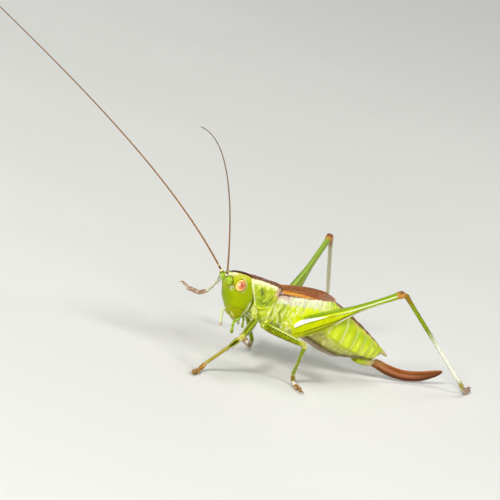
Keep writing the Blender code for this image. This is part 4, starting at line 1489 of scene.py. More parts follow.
@dataclass
class Shield:
    """The pronotum: a saddle over the thorax with a raised rim."""

    # (share of the length, y, z) along the back and along the flank's lower rim, and (share, half width)
    crest: Stations = (
        (0.0, -2.86, 7.35), (0.2, -2.2, 7.3), (0.5, -1.35, 7.15), (0.8, -0.45, 6.99), (1.0, 0.05, 6.88),
    )
    rim: Stations = (
        (0.0, -2.46, 5.62), (0.15, -2.28, 5.24), (0.4, -1.78, 5.06), (0.58, -1.42, 5.16),
        (0.78, -1.08, 5.34), (0.93, -0.8, 5.6), (1.0, -0.74, 5.95),
    )
    half_width: Stations = ((0.0, 1.03), (0.2, 1.16), (0.45, 1.24), (0.7, 1.25), (1.0, 1.2))
    shoulder: float = 0.42  # share of the depth above the widest line
    squareness: float = 2.9
    hug: float = 0.32  # how far its sides reach forward over the head's rear
    thickness: float = 0.07
    rows: int = 190
    columns: int = 256
    inside: Place = (0.0, -1.4, 6.1)
    # the lines of its two grooves, and of the dark fleck under them
    groove: Line = ((0.95, -2.3, 7.0), (1.22, -2.12, 6.5), (1.26, -1.98, 6.1))
    sulcus: Line = ((1.24, -2.2, 5.75), (1.26, -1.75, 5.5), (1.26, -1.3, 5.72), (1.24, -1.0, 6.2))
    fleck: Line = ((1.22, -1.39, 5.44), (1.22, -1.42, 5.36))

    def points(self) -> tuple[Array, Array, Array]:
        """The outer surface.

        Returns:
            Its points, and the share of the length and the place across, from -1 to 1, of each.
        """
        share, across = lattice(self.rows, self.columns, -1)
        crest, rim = through(self.crest, share), through(self.rim, share)
        half = one(self.half_width, share)
        reach = np.abs(across)
        depth = crest[..., 1] - rim[..., 1]
        middle = crest[..., 1] - depth * self.shoulder
        turn = np.clip(reach / 0.5, 0, 1) * pi / 2
        power = 2.0 / self.squareness
        drop = np.clip((reach - 0.5) / 0.5, 0, 1)
        x = half * np.sin(turn) ** power * (1 - 0.09 * drop**2)
        z_up = middle + (crest[..., 1] - middle) * np.cos(turn) ** power
        z = np.where(reach < 0.5, z_up, middle + (rim[..., 1] - middle) * drop)
        fall = (crest[..., 1] - z) / depth
        lead = one(((0.0, 0.0), (0.4, 0.1), (0.75, 0.42), (1.0, 0.72)), share)
        y_straight = crest[..., 0] + (rim[..., 0] - crest[..., 0]) * fall
        y = y_straight - lead * (x / half) ** 2 * (1 - fall) ** 1.5
        y -= self.hug * ease(x / half, 0.35, 0.95) * ease(fall, 1.0, 0.3) * (1 - share) ** 2
        tucked = 1 - 0.1 * ease(share, 0.035, 0.0)
        return np.stack([x * tucked * np.sign(across), y, z], -1), share, across

    def build(self) -> None:
        """Makes the shield."""
        points, share, across = self.points()
        reach = np.abs(across)
        x, z = np.abs(points[..., 0]), points[..., 2]
        edge = np.minimum(np.minimum(share * 2.6, (1 - share) * 2.3), (1 - reach) * 1.9)
        groove, sulcus, fleck = (away(points, line) for line in (self.groove, self.sulcus, self.fleck))
        lift = 0.05 * bell(edge - 0.05, 0.05) - 0.035 * bell(edge - 0.16, 0.06)
        lift -= 0.08 * bell(groove, 0.08) + 0.06 * bell(sulcus, 0.1)
        rough = ease(share, 0.03, 0.14)
        dents = 0.06 * ripple(points, 0.5, 14) * ease(reach, 0.35, 0.5) + 0.022 * ripple(points, 0.22, 15)
        lift += rough * dents
        half_stripe = one(((0.0, 0.56), (0.5, 0.64), (1.0, 0.8)), share)
        wavy = x + 0.03 * ripple(points, 0.25, 16)
        spread = x + (one(((0, 7.35), (0.5, 7.15), (1, 6.84)), share) - z) + 0.1 * ripple(points, 0.28, 17)
        flank = ease(reach, 0.36, 0.46)
        marks = {
            "stripe": ease(wavy, half_stripe + 0.03, half_stripe - 0.03),
            "stripe_edge": bell(wavy - half_stripe + 0.05, 0.045),
            "band": ease(wavy, half_stripe, half_stripe + 0.05)
            * ease(spread, half_stripe + one(((0, 1.0), (0.5, 0.9), (1, 0.7)), share), half_stripe + 0.36),
            "mark": bell(groove, 0.045) * ease(z, 6.05, 6.25) * ease(z, 7.0, 6.8)
            + bell(fleck, 0.06),
            # painted shade: darker green along the flank's two grooves
            "hollow_shade": flank * np.maximum(bell(groove, 0.16), bell(sulcus, 0.16)),
            "gold": flank * ease(share, 0.62, 0.9) * ease(z, 5.7, 6.1),
            "rim": bell((1 - reach) * 1.9 - 0.05, 0.06),
            "collar": ease(share * 2.5, 0.19, 0.12) * ease(reach, 0.3, 0.4),
            "hem": ease((1 - share) * 2.3 + 0.06 * ripple(points, 0.25, 18), 0.52, 0.34) * ease(z, 6.15, 6.35)
            * ease(wavy, half_stripe, half_stripe + 0.05),
        }
        piece = shell("shield_shell", points, lift - 0.02, marks, self.inside, self.thickness)
        settle(piece, SHIELD, ("pronotum",))


@dataclass
class Tegmen:
    """A short fore wing: a veined leathery shell from the ridge of the back down to the flank."""

    side: int
    # (y, ridge height, outer x, outer height)
    stations: Stations = (
        (-0.7, 6.53, 1.02, 6.47), (0.0, 6.62, 1.16, 6.52), (0.9, 6.69, 1.25, 6.47), (2.2, 6.76, 1.3, 6.42),
        (3.6, 6.76, 1.25, 6.35), (4.3, 6.7, 1.14, 6.31), (5.0, 6.58, 1.0, 6.27),
    )
    inner: float = 0.006
    veins: tuple[float, ...] = (0.1, 0.24, 0.36, 0.46, 0.54, 0.64, 0.76, 0.88)  # their places across
    length: float = 5.66
    tip_round: float = 0.55
    rows: int = 330
    columns: int = 110
    thickness: float = 0.05

    def build(self) -> None:
        """Makes the wing."""
        share, across = lattice(self.rows, self.columns, 0)
        length = self.length - self.tip_round * (1 - np.sqrt(1 - np.abs(2 * across - 1) ** 2.2))
        y = self.stations[0][0] + length * share
        ridge, outer_x, outer_z = np.moveaxis(through(self.stations, y), -1, 0)
        turn = across * pi / 2
        x = self.inner + (outer_x - self.inner) * np.sin(turn) ** 0.85
        z = outer_z + (ridge - outer_z) * np.cos(turn) ** 0.9
        points = np.stack([x * self.side, y, z], -1)
        veins = np.zeros(share.shape)
        for number, place in enumerate(self.veins):
            drawn = place + 0.1 * (0.5 - place) * share**2 + 0.01 * np.sin(share * 9 + number)
            main = 1.0 if number % 3 == 0 else 0.6
            veins = np.maximum(veins, main * bell(across - drawn, 0.016))
        edge = np.minimum((1 - share) * 6.0, (1 - across) * 1.7)
        lift = 0.022 * veins + 0.018 * bell(edge - 0.03, 0.04) - 0.02 + 0.012 * ripple(points, 0.6, 24)
        uneven = 0.05 * ripple(points, 0.5, 25)
        marks = {
            "vein": veins,
            "crest": ease(across + uneven, 0.3, 0.12),
            "maroon": bell(across + uneven - 0.54, 0.18) * ease(share, 0.38, 0.52) * ease(share, 0.82, 0.68),
            "gold": bell(across + uneven * 0.5 - one(((0.0, 0.44), (0.25, 0.6), (0.6, 0.86), (1, 1)), share),
                         one(((0.0, 0.3), (0.3, 0.17), (0.6, 0.08), (1.0, 0.05)), share))
            * ease(share, 0.09, 0.14) * ease(share, 0.7, 0.45),
            "dusk": ease(share + 0.2 * across + uneven, 0.74, 0.98) * ease(across, 0.1, 0.3),
            "root": ease(share + uneven * 0.4, 0.13, 0.08) * ease(across, 0.25, 0.45)
            + bell(edge - 0.06, 0.1) * ease(share, 0.78, 0.9),
            "hem": bell(np.minimum((1 - across) * 1.7, (1 - share) * length) - 0.06, 0.12)
            * ease(share, 0.1, 0.2),
        }
        inside = (0.2 * self.side, 2.4, 5.8)
        word = SIDES[self.side]
        piece = shell(f"wing_{word}", points, lift, marks, inside, self.thickness)
        settle(piece, WING, (f"tegmen_{word}",))


# ---- tail


@dataclass
class Tail:
    """The cerci, the plate under the blade's root, its two knobs and the egg-laying blade."""

    cercus_base: Place = (0.42, 10.1, 3.02)
    cercus_tip: Place = (0.6, 11.45, 2.24)
    plate_base: Place = (0.0, 8.75, 1.6)
    plate_tip: Place = (0.0, 10.6, 1.34)
    knob: Place = (0.33, 10.42, 1.98)
    # (share, y, centre height, half depth)
    blade_stations: Stations = (
        (0.0, 10.05, 1.5, 0.2), (0.12, 11.0, 1.38, 0.36), (0.3, 12.35, 0.92, 0.42), (0.5, 13.9, 0.63, 0.43),
        (0.72, 15.6, 0.68, 0.43), (0.9, 17.0, 1.02, 0.31), (0.97, 17.55, 1.22, 0.16),
        (1.0, 17.73, 1.29, 0.03),
    )
    blade_half_width: float = 0.15

    def build(self) -> None:
        """Makes the tail."""
        for side in SIDES:
            self.cercus(side)
        self.plate()
        self.knobs()
        self.blade()

    def cercus(self, side: int) -> None:
        """Makes a soft hairy cone.

        Args:
            side: 1 for the left one, -1 for the right one.
        """
        name = f"cercus_{SIDES[side]}"
        form = strand(sided(self.cercus_base, side), sided(self.cercus_tip, side),
                      ((0, 0.21), (0.2, 0.225), (0.6, 0.175), (0.85, 0.11), (1, 0.06)), 80, 36, (0.1, 0.06))
        form.swell(0.008 * ripple(form.rings, 0.25, 41))
        form.marks = {"tip": ease(form.share, 0.35, 0.8), "pale": 0.0}
        settle(form.build(f"{name}_skin"), TAIL, (name,))
        coat = Coat()
        coat.scatter(form, 150, (0.08, 0.98), 0.45, 0.14, 0.005, 42)
        settle(coat.build(f"{name}_down"), BRISTLE)

    def plate(self) -> None:
        """The keeled plate that holds the blade's root."""
        share = np.linspace(0, 1, 90)
        width = one(((0, 0.58), (0.5, 0.56), (0.85, 0.44), (1, 0.32)), share)
        sizes = np.stack([width, 0 * share + 0.38, one(((0, 0.2), (0.5, 0.32), (1, 0.24)), share)], 1)
        form = tube(line_of(np.array(self.plate_base), np.array(self.plate_tip), 90),
                    sizes * domed(share, 0.08, 0.1)[:, None], 60, 2.4)
        form.swell(-0.07 * bell(form.side, 0.18) * ease(form.rise, 0.2, -0.2) * ease(form.share, 0.55, 1.0))
        form.rings[..., 1] += 0.2 * form.rise * ease(form.share, 0.4, 1.0)
        form.marks = {"tip": ease(form.share, 0.2, 0.9) * 0.8, "pale": 0.0}
        settle(form.build("plate_skin"), TAIL, ("subgenital_plate",))

    def knobs(self) -> None:
        """The pale swellings at each side of the blade's root."""
        made = []
        for side in SIDES:
            middle = sided(self.knob, side)
            form = strand(middle - (0, 0.3, -0.05), middle + (0, 0.2, -0.14),
                          ((0, 0.17), (0.5, 0.21), (1, 0.15)), 30, 28, (0.3, 0.4))
            form.marks = {"tip": 0.2, "pale": ease(form.share, 0.2, 0.6) * 0.8}
            made.append(form.build("knob"))
        settle(joined("blade_knobs", made), TAIL)

    def blade(self) -> None:
        """The blade: two pairs of valves pressed together, with a groove where they meet."""
        share = np.linspace(0, 1, 300)
        y, z, half = through(self.blade_stations, share).T
        path = np.stack([0 * y, y, z], 1)
        width = self.blade_half_width * one(((0, 1.0), (0.3, 1.0), (0.8, 0.75), (1, 0.25)), share)
        form = tube(path, np.stack([width, half, half], 1) * domed(share, 0.02, 0.01)[:, None], 56, 2.3)
        rise, share = form.rise, form.share
        teeth = 0.012 * np.sin(share * 420) * ease(share, 0.86, 0.9) * ease(rise, -0.8, -0.95)
        form.swell(teeth - 0.045 * bell(rise + 0.12, 0.06) + 0.012 * bell(rise - 0.55, 0.15))
        form.marks = {
            "far": ease(share, 0.08, 0.42),
            "middle": bell(rise - 0.05, 0.32) * ease(share, 0.95, 0.5),
            "upper": ease(rise, 0.5, 0.8),
            "lower": bell(rise + 0.62, 0.26) * ease(share, 0.02, 0.2),
            "hem": ease(rise, -0.88, -0.97) * ease(share, 0.7, 0.5),
            "root": ease(share, 0.3, 0.05) * ease(rise, -0.2, 0.3),
        }
        settle(form.build("blade_valves"), BLADE, ("ovipositor",))


# ---- legs


class Pair(Enum):
    """Which pair a leg belongs to."""

    FORE = "fore"
    MID = "mid"
    HIND = "hind"


@dataclass(frozen=True)
class Build:
    """The build of a pair of legs, with its left leg's places."""

    coxa: Place
    hip: Place
    coxa_radius: float
    green: float  # how green the coxa is, from 0 to 1
    trochanter: Couple  # radius, and reach along the thigh
    femur: float
    femur_sizes: Stations  # (share, half width, depth above, depth below) along it
    tibia: float
    tibia_sizes: Stations
    tarsus: float
    coxa_folds: float = 0.0  # height of the folds of its skin
    femur_ends: Couple = (0.07, 0.06)  # shares over which its ends are rounded
    # (count, shares, lean, length) of its hairs
    femur_hairs: tuple[int, Couple, float, float] = (110, (0.1, 0.98), 0.4, 0.14)
    set_back: float = 0.0  # how far the femur starts behind the hip
    keel: float = 0.012  # height of the femur's keels
    # (turns, first and last share, count, lean, length, radius) of the rows of spines
    spines: tuple[tuple[Couple, Couple, int, float, float, float], ...] = (
        ((0.66, 0.84), (0.28, 0.94), 6, 0.45, 0.26, 0.024),
    )
    spur: float = 0.2  # length of the spurs at the shin's end
    tibia_hairs: int = 140
    rings: int = 200
    points: int = 64


BUILDS = {
    Pair.FORE: Build(
        coxa=(0.62, -2.1, 5.3), hip=(0.92, -1.86, 4.02), coxa_radius=0.33, green=0.35,
        trochanter=(0.2488, 0.35),
        femur=3.55,
        femur_sizes=(
            (0.0, 0.2, 0.22, 0.24), (0.1, 0.27, 0.29, 0.32), (0.35, 0.29, 0.32, 0.35),
            (0.75, 0.24, 0.27, 0.27), (0.92, 0.22, 0.25, 0.23), (1.0, 0.24, 0.27, 0.24),
        ),
        tibia=3.75,
        tibia_sizes=(
            (0.0, 0.17, 0.18, 0.17), (0.05, 0.19, 0.2, 0.17), (0.14, 0.23, 0.25, 0.2),
            (0.24, 0.19, 0.2, 0.18), (0.34, 0.14, 0.145, 0.14), (0.9, 0.125, 0.13, 0.13),
            (1.0, 0.15, 0.15, 0.15),
        ),
        tarsus=2.2,
    ),
    Pair.MID: Build(
        coxa=(0.66, -0.15, 4.62), hip=(1.02, -1.05, 3.8), coxa_radius=0.38, green=1.0,
        trochanter=(0.2704, 0.35),
        femur=3.9,
        femur_sizes=(
            (0.0, 0.22, 0.24, 0.25), (0.12, 0.29, 0.32, 0.34), (0.38, 0.3, 0.35, 0.36),
            (0.78, 0.24, 0.27, 0.28), (0.92, 0.22, 0.25, 0.23), (1.0, 0.24, 0.26, 0.24),
        ),
        tibia=3.8,
        tibia_sizes=(
            (0.0, 0.17, 0.18, 0.17), (0.06, 0.19, 0.2, 0.18), (0.2, 0.16, 0.175, 0.17),
            (0.9, 0.145, 0.155, 0.15), (1.0, 0.17, 0.17, 0.17),
        ),
        tarsus=2.7,
    ),
    Pair.HIND: Build(
        coxa=(0.78, 0.62, 4.15), hip=(1.42, 1.45, 3.9), coxa_radius=0.5, coxa_folds=0.05, green=0.0,
        trochanter=(0.36, 0.3),
        femur=9.9,
        femur_sizes=(
            (0.0, 0.34, 0.42, 0.74), (0.05, 0.42, 0.64, 0.86), (0.12, 0.46, 0.78, 0.92),
            (0.24, 0.48, 0.72, 0.94), (0.36, 0.42, 0.58, 0.82), (0.46, 0.35, 0.42, 0.6),
            (0.6, 0.26, 0.29, 0.32), (0.78, 0.22, 0.25, 0.24), (0.9, 0.23, 0.29, 0.24),
            (0.96, 0.28, 0.35, 0.28), (1.0, 0.26, 0.31, 0.28),
        ),
        femur_ends=(0.035, 0.02), set_back=0.28, keel=0.022, femur_hairs=(120, (0.3, 0.98), 0.6, 0.1),
        tibia=11.4,
        tibia_sizes=(
            (0.0, 0.18, 0.2, 0.19), (0.03, 0.19, 0.23, 0.19), (0.08, 0.16, 0.19, 0.17),
            (0.3, 0.15, 0.17, 0.16), (0.93, 0.145, 0.16, 0.15), (1.0, 0.19, 0.19, 0.19),
        ),
        spines=(
            ((0.18, 0.32), (0.1, 0.95), 30, 0.45, 0.17, 0.022),
            ((0.68, 0.82), (0.55, 0.95), 8, 0.5, 0.16, 0.018),
        ), spur=0.28, tibia_hairs=260,
        tarsus=2.3, rings=460, points=112,
    ),
}


@dataclass
class Leg:
    """One leg from its coxa to its claws. Bearings are in degrees, as heading() takes them."""

    pair: Pair
    side: int
    femur: Couple
    tibia: float
    tarsus: float
    raised: float | None = None  # elevation of the tibia of a foot off the floor
    ankle_height: float = 0.42
    sole: float = 0.2  # height of the foot's axis
    floor: float = 0.012  # height of the foot's lowest points
    cuff_back: float = 0.36  # of the shin's end from the ankle's bend
    dot_step: float = 0.19
    # (first and last share of the tarsus, half width at its root and at its end, half height) of each joint
    joints: Stations = (
        (0.0, 0.24, 0.13, 0.2, 0.18), (0.19, 0.5, 0.13, 0.21, 0.18), (0.44, 0.74, 0.13, 0.29, 0.17),
        (0.62, 1.0, 0.08, 0.12, 0.1),
    )

    def __post_init__(self) -> None:
        """Works out the joints' places."""
        self.build_of = BUILDS[self.pair]
        self.name = f"{self.pair.value}_{SIDES[self.side]}"
        self.hip = sided(self.build_of.hip, self.side)
        self.knee = self.hip + heading(*self.femur) * self.build_of.femur
        drop = self.raised
        if drop is None:
            drop = degrees(asin((self.ankle_height - self.knee[2]) / self.build_of.tibia))
        shin_way = heading(self.tibia, drop)
        self.ankle = self.knee + shin_way * self.build_of.tibia
        self.cuff = self.ankle - shin_way * self.cuff_back
        self.forward = heading(self.tarsus, 0.0)
        self.curl = 0.03 if self.raised is None else 0.26  # by which the foot's tip turns up
        self.seed = sum(map(ord, self.name))
        self.coat = Coat()

    def build(self) -> None:
        """Makes the whole leg."""
        self.hip_joint()
        self.thigh()
        self.shin()
        self.foot()
        self.claws()
        settle(self.coat.build(f"{self.name}_bristles"), BRISTLE)

    def hip_joint(self) -> None:
        """Makes the coxa and the small trochanter at its end."""
        build = self.build_of
        radius, top, hip = build.coxa_radius, sided(build.coxa, self.side), self.hip
        radii = ((0, radius * 0.9), (0.35, radius), (0.75, radius * 0.88), (1, radius * 0.62))
        coxa = strand(top, hip - unit(hip - top) * 0.05, radii, 90, 56, (0.2, 0.2))
        ridge = (tuple(top + (0.2 * self.side, 0.25, 0)), tuple(hip + (0.1 * self.side, 0.2, 0)))
        ridge = away(coxa.rings, ridge, mirrored=False) - 0.15
        folds = build.coxa_folds * ripple(coxa.rings * (1, 1.6, 0.7), 0.32, self.seed + 7)
        coxa.swell(0.02 * ripple(coxa.rings, 0.4, self.seed) - 0.05 * bell(ridge, 0.06) + folds)
        coxa.marks = {"crease_line_and_shade": bell(ridge, 0.08), "dark": ease(coxa.share, 0.93, 1.0) * 0.6,
                      "green": build.green}
        out = heading(*self.femur)
        girth, span = build.trochanter
        joint = strand(hip - out * span * 0.75, hip + out * span,
                       ((0, girth * 0.8), (0.4, girth), (1, girth * 0.8)), 50, 48, (0.35, 0.35))
        joint.marks = {"crease_line_and_shade": bell(joint.share - 0.5, 0.08), "dark": 0.0, "green": build.green}
        hips = joined(f"{self.name}_hip", [coxa.build("coxa"), joint.build("trochanter")])
        settle(hips, HIP, (f"{self.name}_coxa",))

    def thigh(self) -> None:
        """Makes the femur, with its keels and its knee."""
        build = self.build_of
        share = np.linspace(0, 1, build.rings)
        sizes = (through(build.femur_sizes, share) - 0.01) * domed(share, *build.femur_ends)[:, None]
        root = self.hip - heading(*self.femur) * build.set_back
        form = tube(line_of(root, self.knee, build.rings), sizes, build.points, 2.15)
        rise, side, share = form.rise, form.side * self.side, form.share
        knee = ease(share, 0.93, 0.97)
        keel = bell(rise - 0.86, 0.07) + bell(rise + 0.86, 0.06)
        keel += 0.8 * bell(rise - 0.4, 0.05) + 0.8 * bell(rise + 0.34, 0.05)
        under = ease(rise, -0.75, -0.95)
        lift = build.keel * keel * ease(share, 0.03, 0.12) * (1 - knee)
        lift += knee * (0.035 * bell(np.abs(side) - 0.9, 0.35) - 0.07 * under) - 0.03 * under * (1 - knee)
        lift -= 0.04 * bell(share - 0.93, 0.012) * ease(rise, 0.95, 0.3)
        form.swell(lift + 0.004 * ripple(form.rings, 0.3, self.seed))
        hind = self.pair is Pair.HIND
        form.marks = self.jumping_marks(form) if hind else self.walking_marks(form)
        settle(form.build(f"{self.name}_thigh"), THIGH if hind else LIMB, (f"{self.name}_femur",))
        self.coat.scatter(form, *build.femur_hairs, 0.005, self.seed)

    def jumping_marks(self, form: Form) -> Marks:
        """The marks of a hind thigh: its rows of dots, its pale keels and patch, and its knee.

        Args:
            form: the thigh.

        Returns:
            The marks.
        """
        rise, side, share = form.rise, form.side * self.side, form.share
        reach = share * self.build_of.femur
        dash = ease(np.sin(2 * pi * reach / self.dot_step), -0.75, 0.1)
        outer, faces = ease(side, 0.0, 0.2), ease(np.abs(side), 0.0, 0.2)
        mid_row = one(((0, 0.42), (2.7, 0.44), (4.8, 0.34), (8, 0.2)), reach)
        low_row = one(((0, -0.36), (2.1, -0.26), (4.8, -0.3), (8, -0.3)), reach)
        rows = bell(rise - mid_row, 0.07) * ease(reach, 5.4, 4.6)
        rows += bell(rise - low_row, 0.06) * ease(reach, 5.6, 4.8)
        rows = rows * faces * ease(reach, 0.1, 0.3)
        upper_rows = sum(bell(rise - level, 0.045) for level in (0.78, 0.9))
        upper_rows = upper_rows * ease(reach, 0.9, 1.3) * ease(reach, 5.4, 4.4)
        top = one(((0, 0.6), (0.4, 0.86), (1.4, 0.82), (2.6, 0.64), (3.3, 0.46)), np.minimum(reach, 3.3))
        wavy = 0.02 * ripple(form.rings, 0.25, 51)
        # painted highlight: the broad white patch on the outer face, between the middle row of dots and the
        # top keel
        patch = ease(rise + wavy, mid_row + 0.03, mid_row + 0.09) * ease(rise, top + 0.03, top - 0.04)
        low = one(((0, -0.82), (2.5, -0.78), (3.6, -0.7), (4.8, -0.6), (6.0, -0.52), (8.0, -0.5),
                   (9.9, -0.5)), reach)
        lines = bell(rise - low - 0.13, 0.05) + bell(rise - low - 0.27, 0.04) + bell(rise - low_row, 0.035)
        # painted highlights: white lines along the lower keel and along the outer face's middle keel
        edge = bell(rise - low, 0.12) * ease(reach, 3.2, 4.2) * ease(reach, 8.6, 7.6)
        edge += bell(rise - 0.4, 0.13) * ease(reach, 3.2, 6.2) * ease(share, 0.95, 0.9) * outer
        return {
            "dots": rows * dash + upper_rows * dash * 0.9,
            "patch": patch * outer * ease(reach, 0.2, 0.36) * ease(reach, 3.3, 2.8),
            "lines": lines * ease(reach, 0.6, 1.2) * ease(reach, 6.6, 5.2) * faces,
            "edge": edge,
            "upper": ease(rise, 0.7, 0.78) * ease(reach, 0.3, 1.8),
            "lower": ease(rise, -0.3, -0.45),
            "distal": ease(share, 0.42, 0.6),
            "shaded": 1.0 if self.side < 0 else 0.0,
            "knee": ease(share, 0.91, 0.945),
            "knee_top": ease(share, 0.935, 0.965) * ease(rise, 0.45, 0.75) * ease(share, 1.0, 0.985),
        }

    def walking_marks(self, form: Form) -> Marks:
        """The marks of a fore or middle thigh: its spots, blots and lines, and its knee.

        Args:
            form: the thigh.

        Returns:
            The marks.
        """
        rise, side, share = form.rise, form.side * self.side, form.share
        mid, fore = float(self.pair is Pair.MID), float(self.pair is Pair.FORE)
        spots = sum(bell(rise - level, 0.2) for level in (0.5, -0.7))
        lines = bell(rise - 1.0, 0.03) + bell(rise - 0.2, 0.09) + bell(rise + 0.46, 0.08)
        along = ease(share, 0.06, 0.14) * ease(share, 0.92, 0.82)
        outer = ease(side, 0.0, 0.2)
        turn = 2 * pi * share * self.build_of.femur / (self.dot_step * 1.25)
        turn += 0.9 * ripple(form.rings, 0.3, 53)
        return {
            "dots": spots * along * ease(np.sin(turn), -0.4, 0.2),
            "blots": bell(rise + 0.12, 0.42) * along * outer * (0.4 + 0.6 * mid),
            "lines": lines * along * fore,
            "lower": ease(rise, -0.4, -0.7) * 0.6,
            "upper": ease(rise, 0.5, 0.8) * 0.5,
            # painted highlight: a pale line along the upper keel
            "edge": bell(rise - 0.8, 0.08) * ease(share, 0.15, 0.3) * ease(share, 0.95, 0.85) * outer
            * (0.2 + 0.7 * mid),
            "knee": ease(share, 0.9, 0.96) * 0.65,
        }

    def shin(self) -> None:
        """Makes the tibia, with its spines and, on a fore leg, its hearing slits."""
        build = self.build_of
        hind, fore = self.pair is Pair.HIND, self.pair is Pair.FORE
        near, far = fore and self.side > 0, fore and self.side < 0
        share = np.linspace(0, 1, build.rings)
        sizes = through(build.tibia_sizes, share) * domed(share, 0.02, 0.02)[:, None]
        form = tube(line_of(self.knee, self.cuff, build.rings), sizes, 48, 2.4)
        rise, side, share = form.rise, form.side * self.side, form.share
        slit = fore * bell(share - 0.205, 0.15) * bell(rise - 0.02, 0.4) * ease(np.abs(side), 0.2, 0.6)
        form.swell(0.01 * bell(np.abs(side) - 0.7, 0.2) * bell(np.abs(rise) - 0.7, 0.2) - 0.06 * slit
                   + 0.003 * ripple(form.rings, 0.2, self.seed + 1))
        form.marks = {
            "upper": ease(rise, 0.3, 0.8) * (1.0 if hind else 0.2),
            "under": ease(rise, -0.4, -0.8) * ease(share, 0.1, 0.3) * (1.0 if near else 0.2),
            "peach": 0.7 * fore * bell(share - 0.075, 0.02),
            "slit": ease(slit, 0.22, 0.5),
        }
        if hind:
            inner = ease(form.outward()[..., 0] * self.side, 0.1, -0.4)
            form.marks |= {
                # pale silver, partly painted highlight, on the inner face and the far part
                "silver_and_painted_highlight": np.maximum(ease(share, 0.35, 0.6), inner * 0.9) * ease(share, 0.97, 0.9),
                "tan": np.maximum(ease(share, 0.9, 0.98), 0.45 * (self.side < 0)),
                "knee": 0.0,
                "amber": ease(share, 0.16, 0.03),
            }
        else:
            form.marks |= {
                # painted light over all the far fore shin, and a painted highlight along the top of the near
                # one
                "silver_and_painted_highlight": 0.95 * far + 0.35 * near * bell(rise - 0.75, 0.22) * ease(share, 0.3, 0.4),
                "tan": 0.95 * near * ease(share, 0.15, 0.6),
                "knee": ease(share, 0.08, 0.03) * 0.8,
                "amber": 0.0,
            }
        settle(form.build(f"{self.name}_shin"), SHIN, (f"{self.name}_tibia",))
        for turns, span, count, lean, length, width in build.spines:
            for turn in turns:
                self.coat.row(form, np.linspace(*span, count), turn, lean, length, width)
        for turn in (0.05, 0.45, 0.62, 0.88):
            self.coat.row(form, np.array([0.972]), turn, 0.6, build.spur, 0.03)
        self.coat.scatter(form, build.tibia_hairs, (0.04, 0.97), 0.5, 0.1, 0.0045, self.seed + 2)

    def foot(self) -> None:
        """Makes the four joints of the tarsus, the third with two lobes."""
        mid, hind = self.pair is Pair.MID, self.pair is Pair.HIND
        violet = not mid and (hind or self.raised is not None)
        made = []
        for number, (first, last, narrow, wide, tall) in enumerate(self.joints):
            begin = self.along_foot(first) if number else self.cuff
            end = self.along_foot(last) + (0, 0, self.curl if number == 3 else 0.0)
            share = np.linspace(0, 1, 56)
            half = one(((0, narrow), (0.35, (narrow + wide) / 2), (0.8, wide), (1, wide * 0.8)), share)
            sizes = np.stack([half, 0 * share + tall * 0.9, 0 * share + tall], 1)
            sizes = sizes * domed(share, 0.12, 0.22)[:, None]
            form = tube(line_of(begin, end, 56), sizes, 40, 2.2)
            if number == 2:
                split = bell(form.side, 0.35) * ease(form.share, 0.6, 1.0) * 0.16
                form.rings = form.rings - self.forward * split[..., None]
            if self.raised is None:
                form.rings[..., 2] = np.maximum(form.rings[..., 2], self.floor)
            form.marks = {
                "pale": ease(form.rise, -0.3, -0.7) * 0.7 + 0.5 * bell(form.share - 0.2, 0.1),
                "joint": ease(form.share, 0.86, 0.98),
                "leafy": float(mid and number == 0),
                # painted highlight: a white glare on top of the second joint of a middle foot
                "painted_highlight": ease(form.rise, -0.4, 0.2) * (0.9 if mid and number == 1 else 0.0),
                "violet": float(violet),
            }
            self.coat.scatter(form, 36, (0.1, 0.9), 0.5, 0.09, 0.004, self.seed + 5 + number)
            made.append(form.build("tarsus_joint"))
        settle(joined(f"{self.name}_foot", made), FOOT, (f"{self.name}_tarsus",))

    def along_foot(self, share: float) -> Array:
        """A place on the foot's axis, at a share of its length."""
        root = self.ankle - (0, 0, self.ankle_height - self.sole) - self.forward * 0.06
        return root + self.forward * self.build_of.tarsus * share

    def claws(self) -> None:
        """Makes the two hooked claws."""
        toe, way = self.along_foot(0.97) + (0, 0, self.curl), self.forward
        across = unit(np.cross(way, UP))
        share = np.linspace(0, 1, 40)
        radius = one(((0, 0.05), (0.5, 0.038), (1, 0.008)), share) * domed(share, 0.1, 0.02)
        made = []
        for turn in (-1, 1):
            out = toe + way * 0.15 + across * 0.1 * turn + (0, 0, 0.08)
            tip = toe + way * 0.25 + across * 0.16 * turn + (0, 0, -0.08)
            form = tube(bent(toe - way * 0.02, out, tip, 40), radius, 16)
            form.marks = {"tip": ease(form.share, 0.4, 0.9)}
            made.append(form.build("claw"))
        settle(joined(f"{self.name}_claws", made), CLAW)


LEGS = (
    Leg(Pair.FORE, 1, femur=(-44, -10), tibia=-127, tarsus=-48),
    Leg(Pair.FORE, -1, femur=(196, 35), tibia=169, tarsus=212, raised=-42),
    Leg(Pair.MID, 1, femur=(29, -2), tibia=153, tarsus=-12),
    Leg(Pair.MID, -1, femur=(158, 0), tibia=74, tarsus=170),
    Leg(Pair.HIND, 1, femur=(88, 23.8), tibia=90, tarsus=135),
    Leg(Pair.HIND, -1, femur=(128, 34.6), tibia=130, tarsus=130),
)
FEELERS = (
    Feeler(side=1, azimuth=(-41, -41), elevation=(42, 12)),
    Feeler(side=-1, azimuth=(-79, -149), elevation=(43, 21)),
)


# ---- studio


